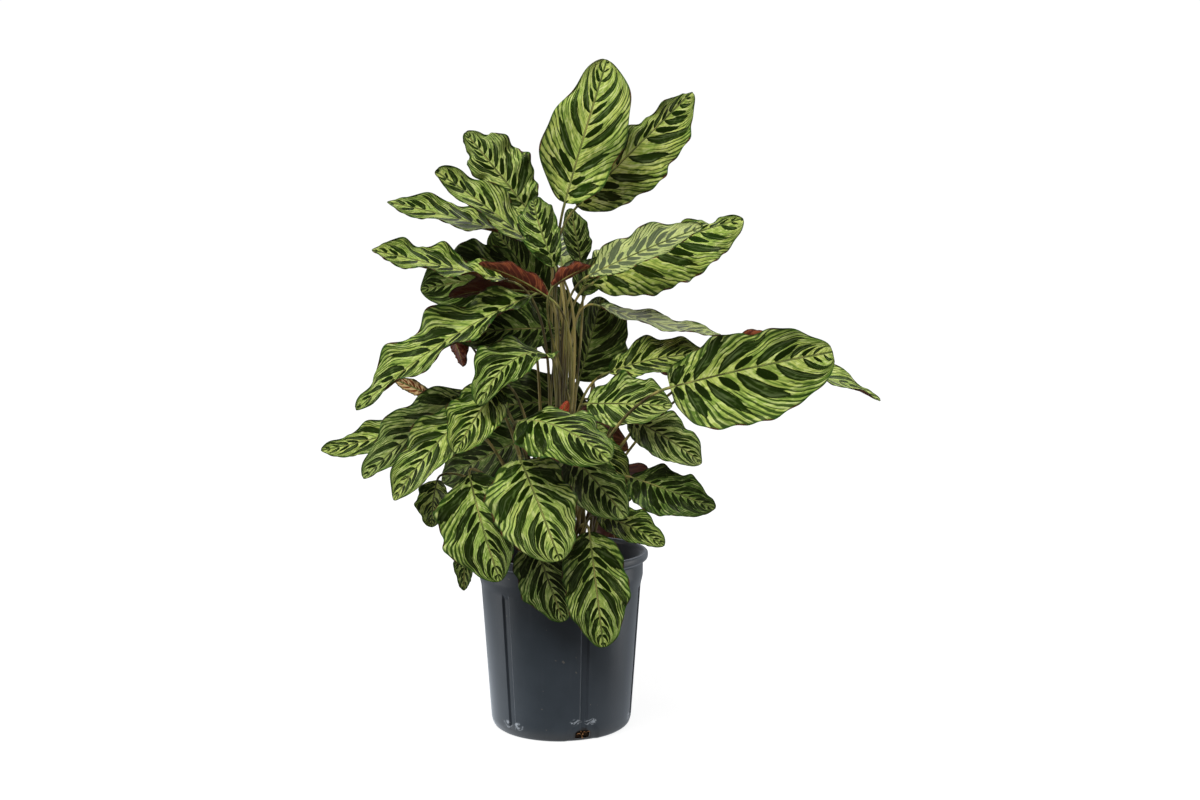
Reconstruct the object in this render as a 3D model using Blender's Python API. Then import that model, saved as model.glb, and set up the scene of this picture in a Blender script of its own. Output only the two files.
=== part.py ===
"""Potted peacock plant, in metres with +Z up.

The origin is the middle of the pot's underside and -Y is the plant's front. Each leaf is one closed solid: a
stem that stands in its own hole in the soil, and a waved blade. A leaf that would cross one already placed is
moved a little nearer or farther, up or down, and its stem takes another hole or a bow, until it is clear.
"""
import math
import random
from dataclasses import dataclass

import bmesh
import bpy
from mathutils import Matrix, Vector
from mathutils.bvhtree import BVHTree
from mathutils.geometry import delaunay_2d_cdt

CM = 0.01
MM = 0.001

# Pot
POT_HEIGHT = 225 * MM
LIP_RADIUS = 112 * MM
LIP_HEIGHT = 9.5 * MM
LIP_ROUND = 2 * MM
BAND_RADIUS = 105.2 * MM
BAND_BOTTOM = 194 * MM
BODY_TOP = 183 * MM
BODY_TOP_RADIUS = 102.4 * MM
BODY_BOTTOM_RADIUS = 90.0 * MM
FOOT_HEIGHT = 10 * MM
FOOT_ROUND = 2.4 * MM
BASE_RADIUS = 83 * MM
WALL = 1.8 * MM
FLOOR = 3 * MM
GROOVES = 6
GROOVE_DEPTH = 2.4 * MM
GROOVE_HALF_ANGLE = math.radians(2.0)
GROOVE_RUNOUT = 6 * MM
HOLE_EVERY = 2                  # one drain hole at every second groove
FIRST_GROOVE = math.radians(19 - 90)
POT_STEPS_BETWEEN_GROOVES = 4
DRAIN_WIDTH = 19 * MM
DRAIN_HEIGHT = 11 * MM
DRAIN_BOTTOM = 3.6 * MM
DRAIN_CORNER = 4 * MM

# Soil
SOIL_TOP = 196 * MM
SOIL_MOUND = 5 * MM
MOUND_RADIUS = 50 * MM
SOIL_BUMP = 1.3 * MM
BUMPS_PER_METRE = (41.4, 36.6)  # along X and Y
SOIL_SIDES = 24
SOIL_GRID = 21 * MM
GRID_TO_STEM = 6 * MM
GRID_TO_EDGE = 5 * MM
GAP = 0.3 * MM
FACET_ROOM = 0.4 * MM           # the soil has fewer sides than the pot
SOIL_RADIUS = BAND_RADIUS - WALL - GAP - FACET_ROOM
HOLE_DEPTH = 12 * MM
STEM_RISE = 3 * MM
HOLE_CLEARANCE = 0.5 * MM

# Blades
BLADE_THICKNESS = 0.8 * MM
KEEL = 0.9 * MM                 # how far the midrib stands out of the underside at the stem
SCALLOP = 0.35                  # how much of a margin's wave also shows in the outline
WIDEST_NEAR_STEM = 0.85         # 1 puts the widest place in the middle
SECTION = (-1.0, -0.55, 0.0, 0.55, 1.0)
END_MARGIN = 0.03               # share of the length from either end to the nearest ring
CROWDED_ENDS = 0.3              # 0 spaces the rings evenly

# Stems
STEM_SIDES = 5
STEM_RINGS = 6
THIN_FOOT = 1.7 * MM
THIN_TOP = 1.1 * MM
FOOT_PER_WIDTH = 0.009          # what a metre of blade width would add to the radius at the soil
TOP_PER_WIDTH = 0.005
UPRIGHT = 0.45                  # share of its reach over which a stem leaves the soil upright
BEND = 0.2                      # and over which it enters the blade
CROWDED_TOP = 1.35              # 1 spaces the rings evenly
CROWN_PITCH = 5.6 * MM
GOLDEN_ANGLE = math.radians(137.508)

# What a leaf may do to stay clear of the others
CLEARANCE = 1.2 * MM
SHIFT_STEP = 4 * MM
MOST_SHIFTS = 16
LIFTS = (0, 4 * MM, -4 * MM, 8 * MM, -8 * MM)
LIFT_COST = 3.0
BOW_STEP = 8 * MM
MOST_BOWS = 7
BOW_DIRECTIONS = 10
ROOTS_TRIED = 8
SPARE_ROOTS = 10

# Edges up to these angles are shaded smooth
POT_SMOOTH = 35
SOIL_SMOOTH = 50
LEAF_SMOOTH = 60

# Linear colours
POT_GREY = (0.048, 0.053, 0.060)
SOIL_BROWN = (0.018, 0.012, 0.008)
UPPER_GREEN = (0.16, 0.30, 0.04)
UNDER_RED = (0.13, 0.03, 0.03)
STEM_OLIVE = (0.17, 0.16, 0.04)

UPPER, UNDER, STALK = range(3)  # a leaf's material slots


@dataclass
class Leaf:
    """One leaf. Places are in centimetres from the middle of the pot's underside, angles in degrees."""

    name: str
    base: tuple            # where the blade starts, on top of its stem
    tip: tuple             # the blade's point
    width: float           # the blade's widest, laid flat
    faces: tuple           # the way the upper side looks
    arch: float = 0.07     # rise of the middle towards the upper side, as a share of the length
    uneven: float = 0.0    # how much wider the half on the +across side is than the mean, as a share
    twist: float = 0.0     # turn of the tip about the midrib
    cup: float = 25.0      # angle that the margins curl up from the flat
    wave: float = 0.13     # height of the margin's waves, as a share of half the width
    waves: float = 2.6     # how many of them run along the blade
    crests: tuple = ()     # where a wave's crest is on the left and the right margin, as shares of the length
    point: float = 0.62    # outline: 0.5 is blunt, 0.9 is long pointed
    rows: int = 10         # steps along the blade


LEAVES = (
    # The top
    Leaf("leaf_top_front", (0.6, -2, 66.6), (5.9, 1, 84.7), 10.0, (0, -1, 0.2), arch=0.04, cup=18,
         uneven=0.08, wave=0.24, waves=1.2, crests=(0.32, 0.75), point=0.56),
    Leaf("leaf_top_right", (2.0, 4, 66.5), (17.1, 8, 81.7), 7.8, (0.2, -1, 0.25), arch=0.03, uneven=0.4,
         wave=0.22, waves=3.2),
    Leaf("leaf_top_left", (-4.0, 3, 65.7), (-12.4, 5, 76.1), 7.2, (-0.1, -1, 0.2), cup=18, wave=0.24,
         uneven=0.2, waves=3.2, crests=(0.66, 0.4), point=0.72),
    Leaf("leaf_upright", (-0.5, -6, 58.6), (-3.4, 1, 67.2), 5.0, (-0.2, -1, 0.2), arch=0.16),
    Leaf("leaf_top_small", (2.5, 7, 59.2), (1.0, 9, 66.6), 3.8, (0.2, -1, 0.1), rows=6),
    # Upper left
    Leaf("leaf_slant_left", (-0.8, -3, 58.8), (-15.3, -6, 70.4), 6.4, (0.45, -0.35, 0.8), arch=0.03,
         point=0.48, wave=0.18, twist=-34, uneven=0.12),
    Leaf("leaf_edge_left", (-3.7, 1, 61.9), (-22.2, 2, 67.0), 6.2, (0.2, -0.2, 0.95), arch=0.02, twist=-40,
         wave=0.17, crests=(0.62, 0.76)),
    Leaf("leaf_rolled_left", (-6.4, -4, 57.0), (-22.6, -8, 60.6), 6.4, (0.1, -0.25, 0.97), cup=30, arch=0.0,
         twist=-36, wave=0.2, waves=3.0, crests=(0.62, 0.82), point=0.54),
    Leaf("leaf_left_behind", (-5.2, 6, 58.0), (-18.3, 4, 55.8), 9.8, (-0.1, -1, 0.2), rows=8),
    Leaf("leaf_red_upper", (-1.2, -7, 54.9), (-9.6, -9, 58.9), 3.2, (-0.2, 0.6, 0.8), cup=70, rows=7),
    Leaf("leaf_red_underside", (-2.5, 0, 55.5), (-13.9, -3, 54.9), 5.2, (0, 0.6, 0.8), cup=45, rows=8),
    Leaf("leaf_back_left", (-2, 8, 54.5), (-9, 9, 63.8), 9.0, (-0.1, -1, 0.3), rows=8),
    # Left side
    Leaf("leaf_long_left", (-3.4, -5, 55.2), (-24.2, -11, 41.4), 8.8, (-0.35, -0.55, 0.75), wave=0.2,
         arch=0.05, uneven=0.2, waves=3.4, crests=(0.5, 0.72), point=0.7),
    Leaf("leaf_inner_left", (-1.0, 3, 50.9), (-13.5, 1, 50), 7.4, (-0.2, -0.9, 0.3), rows=8),
    Leaf("leaf_inner_high", (-0.6, 4, 50.6), (-11, 1, 54), 6.2, (0.1, -0.9, 0.4), rows=8),
    Leaf("leaf_red_tip", (-14.4, 0, 51.2), (-12.3, -1, 46.1), 2.8, (0.4, 1, 0.3), cup=40, rows=6),
    Leaf("leaf_young_left", (-17.8, 8, 41.9), (-22.5, 8, 44), 2.1, (0, -1, 0.3), cup=45, rows=6),
    Leaf("leaf_far_left", (-15.1, 2, 39.6), (-30.9, 1, 35.2), 6.2, (-0.2, -0.7, 0.7), wave=0.16, arch=-0.03,
         uneven=-0.2),
    Leaf("leaf_left_droop", (-11, -3, 42.9), (-24.1, -7, 32.6), 7.4, (-0.4, -0.75, 0.55), arch=0.05,
         uneven=0.15),
    Leaf("leaf_left_front", (-9.3, -8, 42.3), (-19.7, -12, 30.7), 7.4, (-0.4, -0.8, 0.45)),
    Leaf("leaf_left_low", (-16.0, 1, 31.4), (-16.6, 0, 25.4), 4.6, (-0.3, -0.95, 0.2), rows=8),
    Leaf("leaf_left_small", (-11.9, 0, 24.6), (-12.1, -2, 18.1), 2.8, (-0.1, -1, 0.1), rows=6),
    # Front
    Leaf("leaf_arching", (-1.4, -5, 47.8), (-9.3, -14, 42.2), 8.6, (-0.1, -0.5, 0.85), arch=0.2, wave=0.12),
    Leaf("leaf_front_left", (-7.3, -8, 44.0), (-12.1, -12, 36.5), 7.2, (-0.2, -0.9, 0.4), rows=8),
    Leaf("leaf_front_low_left", (-10.7, -11, 33.7), (-6.7, -16, 21.7), 9.4, (-0.2, -1, 0.3), cup=15,
         uneven=0.12),
    Leaf("leaf_front_middle", (-4.5, -12, 35.6), (0.4, -19, 24.7), 10.2, (0.05, -1, 0.5), cup=18, point=0.5,
         uneven=0.16),
    Leaf("leaf_front_flat", (-4.6, -12, 40.3), (6.2, -20, 36.4), 9.2, (0.12, -0.7, 0.75), arch=0.13,
         cup=-22, point=0.52, uneven=0.06),
    Leaf("leaf_front_right", (0.6, -8, 36.4), (8.1, -15, 29), 7.6, (0.15, -1, 0.45), point=0.52,
         uneven=0.2),
    Leaf("leaf_over_lip", (3.7, -13, 27.1), (5.4, -15.5, 13.7), 7.8, (0.05, -1, 0.15), cup=12, point=0.56),
    Leaf("leaf_over_lip_left", (-3.0, -13, 26.4), (0.7, -15, 16.4), 7.4, (-0.1, -1, 0.15), cup=12, rows=8),
    # Right side
    Leaf("leaf_big_right", (13.1, -16, 44.5), (31.3, -20, 48.8), 10.8, (0.05, -1, 0.25), cup=16,
         uneven=0.22, wave=0.12, crests=(0.75, 0.6), point=0.44),
    Leaf("leaf_mid_right", (3.4, -6, 41.8), (13.8, -9, 41.7), 8.0, (0.1, -0.8, 0.6), arch=0.02),
    Leaf("leaf_under_right", (8.7, -4, 39.8), (17.6, -6, 34.4), 6.8, (0.1, -0.8, 0.6), uneven=0.08),
    Leaf("leaf_low_right", (8.8, -5, 32.6), (19.0, -10, 29.4), 7.4, (0.15, -0.8, 0.55), arch=0.02,
         uneven=0.24),
    Leaf("leaf_low_inner", (2.5, -3, 38.9), (8.8, -7, 28.9), 4.8, (0.35, -0.9, 0.2), rows=8),
    Leaf("leaf_low_front", (4.9, -9, 28.5), (12.7, -13, 25.4), 5.0, (0.1, -0.75, 0.6), rows=8),
    Leaf("leaf_right_behind", (23.8, 4, 46.5), (41.6, 4, 41.4), 6.8, (0.1, -0.3, 0.93), arch=0.06),
    Leaf("leaf_right_inner", (6.2, 0, 45.4), (18.8, 0, 47.6), 6.8, (0, -0.65, 0.75)),
    Leaf("leaf_rolled_right", (20.4, 2, 46.4), (27.4, 0, 50.4), 3.6, (0.2, 0.4, 0.9), cup=110, rows=7),
    Leaf("leaf_shaded", (2.2, 6, 43.8), (5.2, 10, 54.9), 8.0, (0.1, -1, 0.2), rows=8, uneven=0.3),
    # Upper right
    Leaf("leaf_wavy_right", (4.0, 3, 56.7), (23.7, 6, 65.1), 8.4, (-0.2, -0.85, 0.5), wave=0.2, waves=3.8,
         uneven=0.42, cup=-18, rows=13),
    Leaf("leaf_pale_right", (3.6, -3, 57.6), (17.6, -6, 63.5), 5.4, (-0.1, -0.8, 0.6), arch=0.02,
         uneven=-0.15, wave=0.16),
    Leaf("leaf_thin_right", (5.0, 2, 53.8), (20.3, -1, 50.2), 5.4, (0, -0.3, 1), cup=15, wave=0.12,
         arch=-0.03),
    Leaf("leaf_red_inner", (-0.7, -9, 56.2), (4.0, -11, 58.6), 2.8, (0.1, 0.5, 0.8), cup=80, rows=7),
    Leaf("leaf_back_small", (2.2, 6, 55.2), (5, 8, 60), 4.2, (0.1, -1, 0.2), rows=6),
    Leaf("leaf_new_roll", (-0.3, -9, 39.7), (1.1, -9, 42.4), 2.2, (0.3, 1, 0.2), cup=100, rows=6, wave=0.0),
    # The back, as full as the front
    Leaf("leaf_rear_lip_right", (5, 12, 28), (8, 16, 17), 6.6, (0.3, 1, 0.2), rows=8),
    Leaf("leaf_rear_lip_left", (-7, 12.5, 27.5), (-10, 16.5, 18), 6.4, (-0.4, 1, 0.2), rows=8),
    Leaf("leaf_rear_top", (0, 9, 58.8), (-3, 22, 63.8), 8.4, (-0.1, 0.6, 0.9), arch=0.12, rows=8),
    Leaf("leaf_rear_top_right", (4, 9, 56.8), (14, 24, 59.8), 8.2, (0.2, 0.4, 0.9), arch=0.12, rows=8),
    Leaf("leaf_rear_top_left", (-5, 10, 52.8), (-15, 24, 55), 8.2, (-0.2, 0.4, 0.9), arch=0.12, rows=8),
    Leaf("leaf_rear_right", (6, 9, 46.8), (18, 22, 41.8), 8.2, (0.4, 0.6, 0.7), arch=0.12, rows=8),
    Leaf("leaf_rear_left", (3.6, 11, 44.5), (-3.8, 15, 56.6), 8.4, (0, -1, 0.3), arch=0.03, rows=8),
    Leaf("leaf_rear_middle", (3, 10, 41.2), (-12, 13, 39.6), 8.4, (0, -0.9, 0.4), arch=0.02, rows=8),
    Leaf("leaf_rear_low_right", (7, 10, 31.8), (13, 21, 23.8), 7.6, (0.4, 0.9, 0.4), arch=0.1, rows=8),
    Leaf("leaf_rear_low_left", (-3.5, 8, 36.8), (-16.6, 12, 29.9), 8.2, (-0.1, -0.9, 0.4), arch=0.04,
         rows=8),
    Leaf("leaf_rear_low_middle", (-3, 12, 37.8), (9, 22, 32.8), 8.4, (0, 1, 0.3), arch=0.1, rows=8),
)


class Blade:
    """The curved sheet of one leaf, given by the share t of the way along it and v of the way across it."""

    def __init__(self, leaf, shift):
        self.leaf = leaf
        self.base = Vector(leaf.base) * CM + shift
        self.span = Vector(leaf.tip) * CM + shift - self.base
        axis = self.span.normalized()
        faces = Vector(leaf.faces)
        self.length = self.span.length
        self.up = (faces - axis * faces.dot(axis)).normalized()
        draw = random.Random(leaf.name)
        crests = leaf.crests or (draw.random(), draw.random())
        self.phases = [0.25 - leaf.waves * crest for crest in crests]

    def midrib(self, t):
        """Point of the midrib, from 0 at the stem to 1 at the tip."""
        hump = 4.0 * t * (1.0 - t) * self.length
        return self.base + self.span * t + self.up * (self.leaf.arch * hump)

    def directions(self, t):
        """Unit vectors along, across and above the midrib."""
        step = 0.001
        along = (self.midrib(t + step) - self.midrib(t - step)).normalized()
        flat_across = along.cross(self.up).normalized()
        across = Matrix.Rotation(math.radians(self.leaf.twist) * t, 3, along) @ flat_across
        return along, across, across.cross(along)

    def outline(self, t):
        """Half width as a share of the widest: round at the stem, drawn to a point at the tip."""
        if not 0.0 < t < 1.0:
            return 0.0
        return math.sin(math.pi * t ** WIDEST_NEAR_STEM) ** self.leaf.point

    def sheet(self, t, v, spare=0.0):
        """Point of the middle of the blade's thickness. v runs from -1 to 1 between the margins."""
        along, across, above = self.directions(t)
        phase = self.phases[0] if v < 0.0 else self.phases[1]
        ripple = math.sin(2.0 * math.pi * (self.leaf.waves * t + phase))
        share = 1.0 + math.copysign(self.leaf.uneven, v) + SCALLOP * self.leaf.wave * ripple
        half = self.leaf.width * CM / 2.0 * self.outline(t) * share + spare
        curl = math.radians(self.leaf.cup)
        out = half * math.sin(curl * abs(v)) / curl
        rise = half * (1.0 - math.cos(curl * abs(v))) / curl
        height = self.leaf.wave * self.leaf.width * CM / 2.0 * math.sqrt(self.outline(t))
        return self.midrib(t) + across * math.copysign(out, v) + above * (rise + ripple * height * v * v)

    def normal(self, t, v):
        """Unit vector out of the upper side."""
        step_along = 0.004
        step_across = 0.02
        before = max(t - step_along, 0.001)
        after = min(t + step_along, 0.999)
        left = max(v - step_across, -1.0)
        right = min(v + step_across, 1.0)
        run = self.sheet(after, v) - self.sheet(before, v)
        breadth = self.sheet(t, right) - self.sheet(t, left)
        return breadth.cross(run).normalized()

    def ring(self, t, spare=0.0):
        """Closed loop round the blade: along the upper side from left to right, and back underneath."""
        half_thick = BLADE_THICKNESS / 2.0 + spare
        keel = KEEL * (1.0 - t)
        upper = []
        lower = []
        for v in SECTION:
            middle = self.sheet(t, v, spare)
            normal = self.normal(t, v)
            upper.append(middle + normal * half_thick)
            lower.append(middle - normal * (half_thick + (keel if v == 0.0 else 0.0)))
        return upper + lower[::-1]

    def rings(self, spare=0.0):
        """Rings from the stem to near the tip, closer together at both ends."""
        rows = self.leaf.rows
        found = []
        for i in range(rows):
            u = END_MARGIN + (1.0 - 2.0 * END_MARGIN) * i / (rows - 1)
            t = u - CROWDED_ENDS * math.sin(2.0 * math.pi * u) / (2.0 * math.pi)
            found.append(self.ring(t, spare))
        return found


class Stem:
    """The stem of one leaf: straight up out of its hole, then one curve into the blade."""

    def __init__(self, blade, root, bow):
        width = blade.leaf.width * CM
        self.foot_radius = THIN_FOOT + FOOT_PER_WIDTH * width
        self.top_radius = THIN_TOP + TOP_PER_WIDTH * width
        self.root = root
        top = blade.midrib(0.0)
        along, self.blade_across, _ = blade.directions(0.0)
        reach = (top - root).length
        lower = root + Vector((0, 0, UPRIGHT * reach)) + bow
        upper = top - along * (BEND * reach) + bow / 2.0
        self.points = (root, lower, upper, top)

    def centre(self, s):
        """Point of the stem's axis, from 0 at the soil to 1 at the blade."""
        a, b, c, d = self.points
        r = 1.0 - s
        return a * r ** 3 + b * (3 * r * r * s) + c * (3 * r * s * s) + d * s ** 3

    def direction(self, s):
        """Unit vector along the axis, upwards."""
        a, b, c, d = self.points
        r = 1.0 - s
        return ((b - a) * (r * r) + (c - b) * (2 * r * s) + (d - c) * (s * s)).normalized()

    def rings(self, count, sides, spare=0.0):
        """Rings from the hole's bottom to the blade, without twist between them."""
        across = self.blade_across
        found = []
        for i in range(count, -1, -1):
            s = 1.0 - (1.0 - i / count) ** CROWDED_TOP
            along = self.direction(s) if i else Vector((0, 0, 1))
            across = (across - along * across.dot(along)).normalized()
            above = across.cross(along)
            radius = self.foot_radius + (self.top_radius - self.foot_radius) * s + spare
            found.append(circle(self.centre(s), across, above, radius, sides))
        sunk = Vector((0, 0, HOLE_DEPTH + STEM_RISE - GAP))
        found.append([point - sunk for point in found[-1]])
        return found[::-1]


def circle(centre, across, above, radius, sides):
    """Loop of points that starts underneath and goes round by the left."""
    loop = []
    for k in range(sides):
        angle = 2.0 * math.pi * k / sides
        loop.append(centre - above * (radius * math.cos(angle)) - across * (radius * math.sin(angle)))
    return loop


class Skin:
    """Points and triangles of one solid, gathered loop by loop."""

    def __init__(self):
        self.points = []
        self.triangles = []
        self.materials = []

    def add(self, loop):
        """Add a loop's points and return their numbers."""
        start = len(self.points)
        self.points.extend(loop)
        return list(range(start, len(self.points)))

    def face(self, a, b, c, material):
        self.triangles.append((a, b, c))
        self.materials.append(material)

    def tube(self, lower, upper, material):
        """Join two loops of the same length."""
        count = len(lower)
        for k in range(count):
            n = (k + 1) % count
            self.face(lower[k], lower[n], upper[n], material)
            self.face(lower[k], upper[n], upper[k], material)

    def zip(self, lower, upper, material):
        """Join two loops of different length that start at the same side."""
        i = 0
        j = 0
        while i < len(lower) or j < len(upper):
            a = lower[i % len(lower)]
            b = upper[j % len(upper)]
            if j == len(upper) or (i < len(lower) and (i + 1) * len(upper) <= (j + 1) * len(lower)):
                self.face(a, lower[(i + 1) % len(lower)], b, material)
                i += 1
            else:
                self.face(a, upper[(j + 1) % len(upper)], b, material)
                j += 1

    def fan(self, loop, tip, material):
        """Close a loop with one point."""
        for k in range(len(loop)):
            self.face(loop[k], loop[(k + 1) % len(loop)], tip, material)

    def blade_band(self, near, far):
        """Join two rings of a blade. Both sides are split alike, along the side veins."""
        count = len(near)
        columns = count // 2
        for k in range(count):
            n = (k + 1) % count
            material = UPPER if k < columns - 1 else UNDER
            left_half = k < columns // 2 or count - 2 - k < columns // 2
            outer_first = left_half == (k < columns)
            if outer_first:
                self.face(near[k], near[n], far[k], material)
                self.face(near[n], far[n], far[k], material)
            else:
                self.face(near[k], near[n], far[n], material)
                self.face(near[k], far[n], far[k], material)


def blade_skin(blade, skin, spare=0.0):
    """Add the blade and return its first ring, turned to start under the midrib."""
    rings = [skin.add(ring) for ring in blade.rings(spare)]
    for near, far in zip(rings, rings[1:]):
        skin.blade_band(near, far)
    tip = skin.add([blade.midrib(1.0) + blade.directions(1.0)[0] * spare])[0]
    skin.fan(rings[-1], tip, UPPER)
    under_midrib = len(SECTION) + len(SECTION) // 2
    return rings[0][under_midrib:] + rings[0][:under_midrib]


def stem_skin(stem, skin, spare=0.0):
    """Add the stem and return its rings."""
    rings = [skin.add(ring) for ring in stem.rings(STEM_RINGS, STEM_SIDES, spare)]
    for lower, upper in zip(rings, rings[1:]):
        skin.tube(lower, upper, STALK)
    return rings


def touches(skin, obstacles):
    """Whether a skin crosses anything placed so far."""
    tree = BVHTree.FromPolygons(skin.points, skin.triangles)
    return bool(tree.overlap(obstacles))


def nearer_and_farther():
    """Shifts of a blade along the line of sight from the front and a little up or down, smallest first."""
    steps = range(-MOST_SHIFTS, MOST_SHIFTS + 1)
    shifts = [Vector((0, SHIFT_STEP * k, lift)) for k in steps for lift in LIFTS]
    return sorted(shifts, key=lambda shift: abs(shift.y) + LIFT_COST * abs(shift.z))


def bows():
    """Sideways offsets of a stem's middle, smallest first."""
    yield Vector((0, 0, 0))
    for k in range(1, MOST_BOWS + 1):
        for d in range(BOW_DIRECTIONS):
            angle = 2.0 * math.pi * d / BOW_DIRECTIONS
            yield Vector((math.cos(angle), math.sin(angle), 0)) * (BOW_STEP * k)


def leaf_skin(blade, stem):
    """Points and triangles of a whole leaf."""
    skin = Skin()
    stem_rings = stem_skin(stem, skin)
    first_ring = blade_skin(blade, skin)
    skin.zip(stem_rings[-1], first_ring, STALK)
    foot = stem_rings[0]
    for k in range(1, len(foot) - 1):
        skin.face(foot[0], foot[k], foot[k + 1], STALK)
    return skin


def crosses_itself(skin):
    """Whether two triangles that share no corner cross."""
    tree = BVHTree.FromPolygons(skin.points, skin.triangles)
    for a, b in tree.overlap(tree):
        if a < b and not set(skin.triangles[a]) & set(skin.triangles[b]):
            return True
    return False


def settle(leaf, roots, obstacles):
    """The blade and the stem of a leaf where both are clear of what is placed, and of each other."""
    for shift in nearer_and_farther():
        blade = Blade(leaf, shift)
        fat_blade = Skin()
        blade_skin(blade, fat_blade, CLEARANCE)
        if touches(fat_blade, obstacles):
            continue
        for root in roots:
            for bow in bows():
                stem = Stem(blade, root, bow)
                fat_stem = Skin()
                stem_skin(stem, fat_stem, CLEARANCE)
                if touches(fat_stem, obstacles) or crosses_itself(leaf_skin(blade, stem)):
                    continue
                return blade, stem
    raise RuntimeError("no clear place for " + leaf.name)


def crown_places(count):
    """Where stems leave the soil: an even spiral about the middle of the pot."""
    places = []
    for k in range(count):
        radius = CROWN_PITCH * math.sqrt(k + 0.5)
        angle = GOLDEN_ANGLE * k
        x = radius * math.cos(angle)
        y = radius * math.sin(angle)
        places.append(Vector((x, y, soil_height(x, y) + STEM_RISE)))
    return places


def wanted_roots(leaves):
    """Where each leaf would best leave the soil: tall ones inside, low ones outside, on the blade's side."""
    edge = CROWN_PITCH * math.sqrt(len(leaves))
    wanted = {}
    tallest_first = sorted(leaves, key=lambda leaf: -leaf.base[2])
    for rank, leaf in enumerate(tallest_first):
        side = Vector((leaf.base[0], leaf.base[1])).normalized()
        wanted[leaf.name] = side * (edge * math.sqrt(rank / len(leaves)))
    return wanted


def clear_scene():
    for thing in list(bpy.data.objects):
        bpy.data.objects.remove(thing, do_unlink=True)


def material(name, colour, roughness):
    """A plain material from a linear colour."""
    made = bpy.data.materials.new(name)
    made.use_nodes = True
    shader = made.node_tree.nodes["Principled BSDF"]
    shader.inputs["Base Color"].default_value = (*colour, 1.0)
    shader.inputs["Roughness"].default_value = roughness
    shader.inputs["Metallic"].default_value = 0.0
    made.diffuse_color = (*colour, 1.0)
    return made


def add_object(name, points, faces, materials, origin=Vector((0, 0, 0))):
    """A mesh object with outward faces, whose origin is a point of the object."""
    mesh = bpy.data.meshes.new(name)
    mesh.from_pydata([point - origin for point in points], [], faces)
    for one in materials:
        mesh.materials.append(one)
    shape = bmesh.new()
    shape.from_mesh(mesh)
    bmesh.ops.recalc_face_normals(shape, faces=shape.faces)
    shape.to_mesh(mesh)
    shape.free()
    made = bpy.data.objects.new(name, mesh)
    made.location = origin
    bpy.context.scene.collection.objects.link(made)
    return made


def shade(thing, angle):
    thing.data.shade_smooth()
    thing.data.set_sharp_from_angle(angle=math.radians(angle))


def pot_angles():
    """Directions of the pot's columns: three to each groove, and even steps between grooves."""
    sector = 2.0 * math.pi / GROOVES
    angles = []
    for g in range(GROOVES):
        middle = FIRST_GROOVE + sector * g
        angles.append((middle - GROOVE_HALF_ANGLE, 0.0))
        angles.append((middle, 1.0))
        angles.append((middle + GROOVE_HALF_ANGLE, 0.0))
        plain = sector - 2.0 * GROOVE_HALF_ANGLE
        for k in range(1, POT_STEPS_BETWEEN_GROOVES + 1):
            share = k / (POT_STEPS_BETWEEN_GROOVES + 1)
            angles.append((middle + GROOVE_HALF_ANGLE + plain * share, 0.0))
    return angles


def body_radius(z):
    """Outer radius of the pot's tapered body."""
    share = (z - FOOT_HEIGHT) / (BODY_TOP - FOOT_HEIGHT)
    return BODY_BOTTOM_RADIUS + (BODY_TOP_RADIUS - BODY_BOTTOM_RADIUS) * share


def pot_rows():
    """Radius, height and groove depth of each level: up the outside, over the lip and down the inside."""
    low = FOOT_HEIGHT + GROOVE_RUNOUT
    high = BODY_TOP - GROOVE_RUNOUT
    lip_bottom = POT_HEIGHT - LIP_HEIGHT
    outside = [
        (BASE_RADIUS, 0.0, 0.0),
        (BODY_BOTTOM_RADIUS - FOOT_ROUND, FLOOR, 0.0),
        (BODY_BOTTOM_RADIUS, FOOT_HEIGHT, 0.0),
        (body_radius(low), low, GROOVE_DEPTH),
        (body_radius(high), high, GROOVE_DEPTH),
        (BODY_TOP_RADIUS, BODY_TOP, 0.0),
        (BAND_RADIUS, BAND_BOTTOM, 0.0),
        (BAND_RADIUS, lip_bottom - LIP_ROUND, 0.0),
        (LIP_RADIUS - LIP_ROUND / 3.0, lip_bottom, 0.0),
        (LIP_RADIUS, POT_HEIGHT - LIP_ROUND, 0.0),
        (LIP_RADIUS - LIP_ROUND, POT_HEIGHT, 0.0),
    ]
    inside = [
        (BAND_RADIUS + LIP_ROUND / 2.0, POT_HEIGHT, 0.0),
        (BAND_RADIUS - WALL, POT_HEIGHT - LIP_ROUND - 1.0 * MM, 0.0),
        (BAND_RADIUS - WALL, BAND_BOTTOM, 0.0),
        (BODY_TOP_RADIUS - WALL, BODY_TOP, 0.0),
        (body_radius(high) - WALL, high, GROOVE_DEPTH),
        (body_radius(low) - WALL, low, GROOVE_DEPTH),
        (BODY_BOTTOM_RADIUS - FOOT_ROUND - WALL, FLOOR, 0.0),
    ]
    return outside + inside


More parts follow.
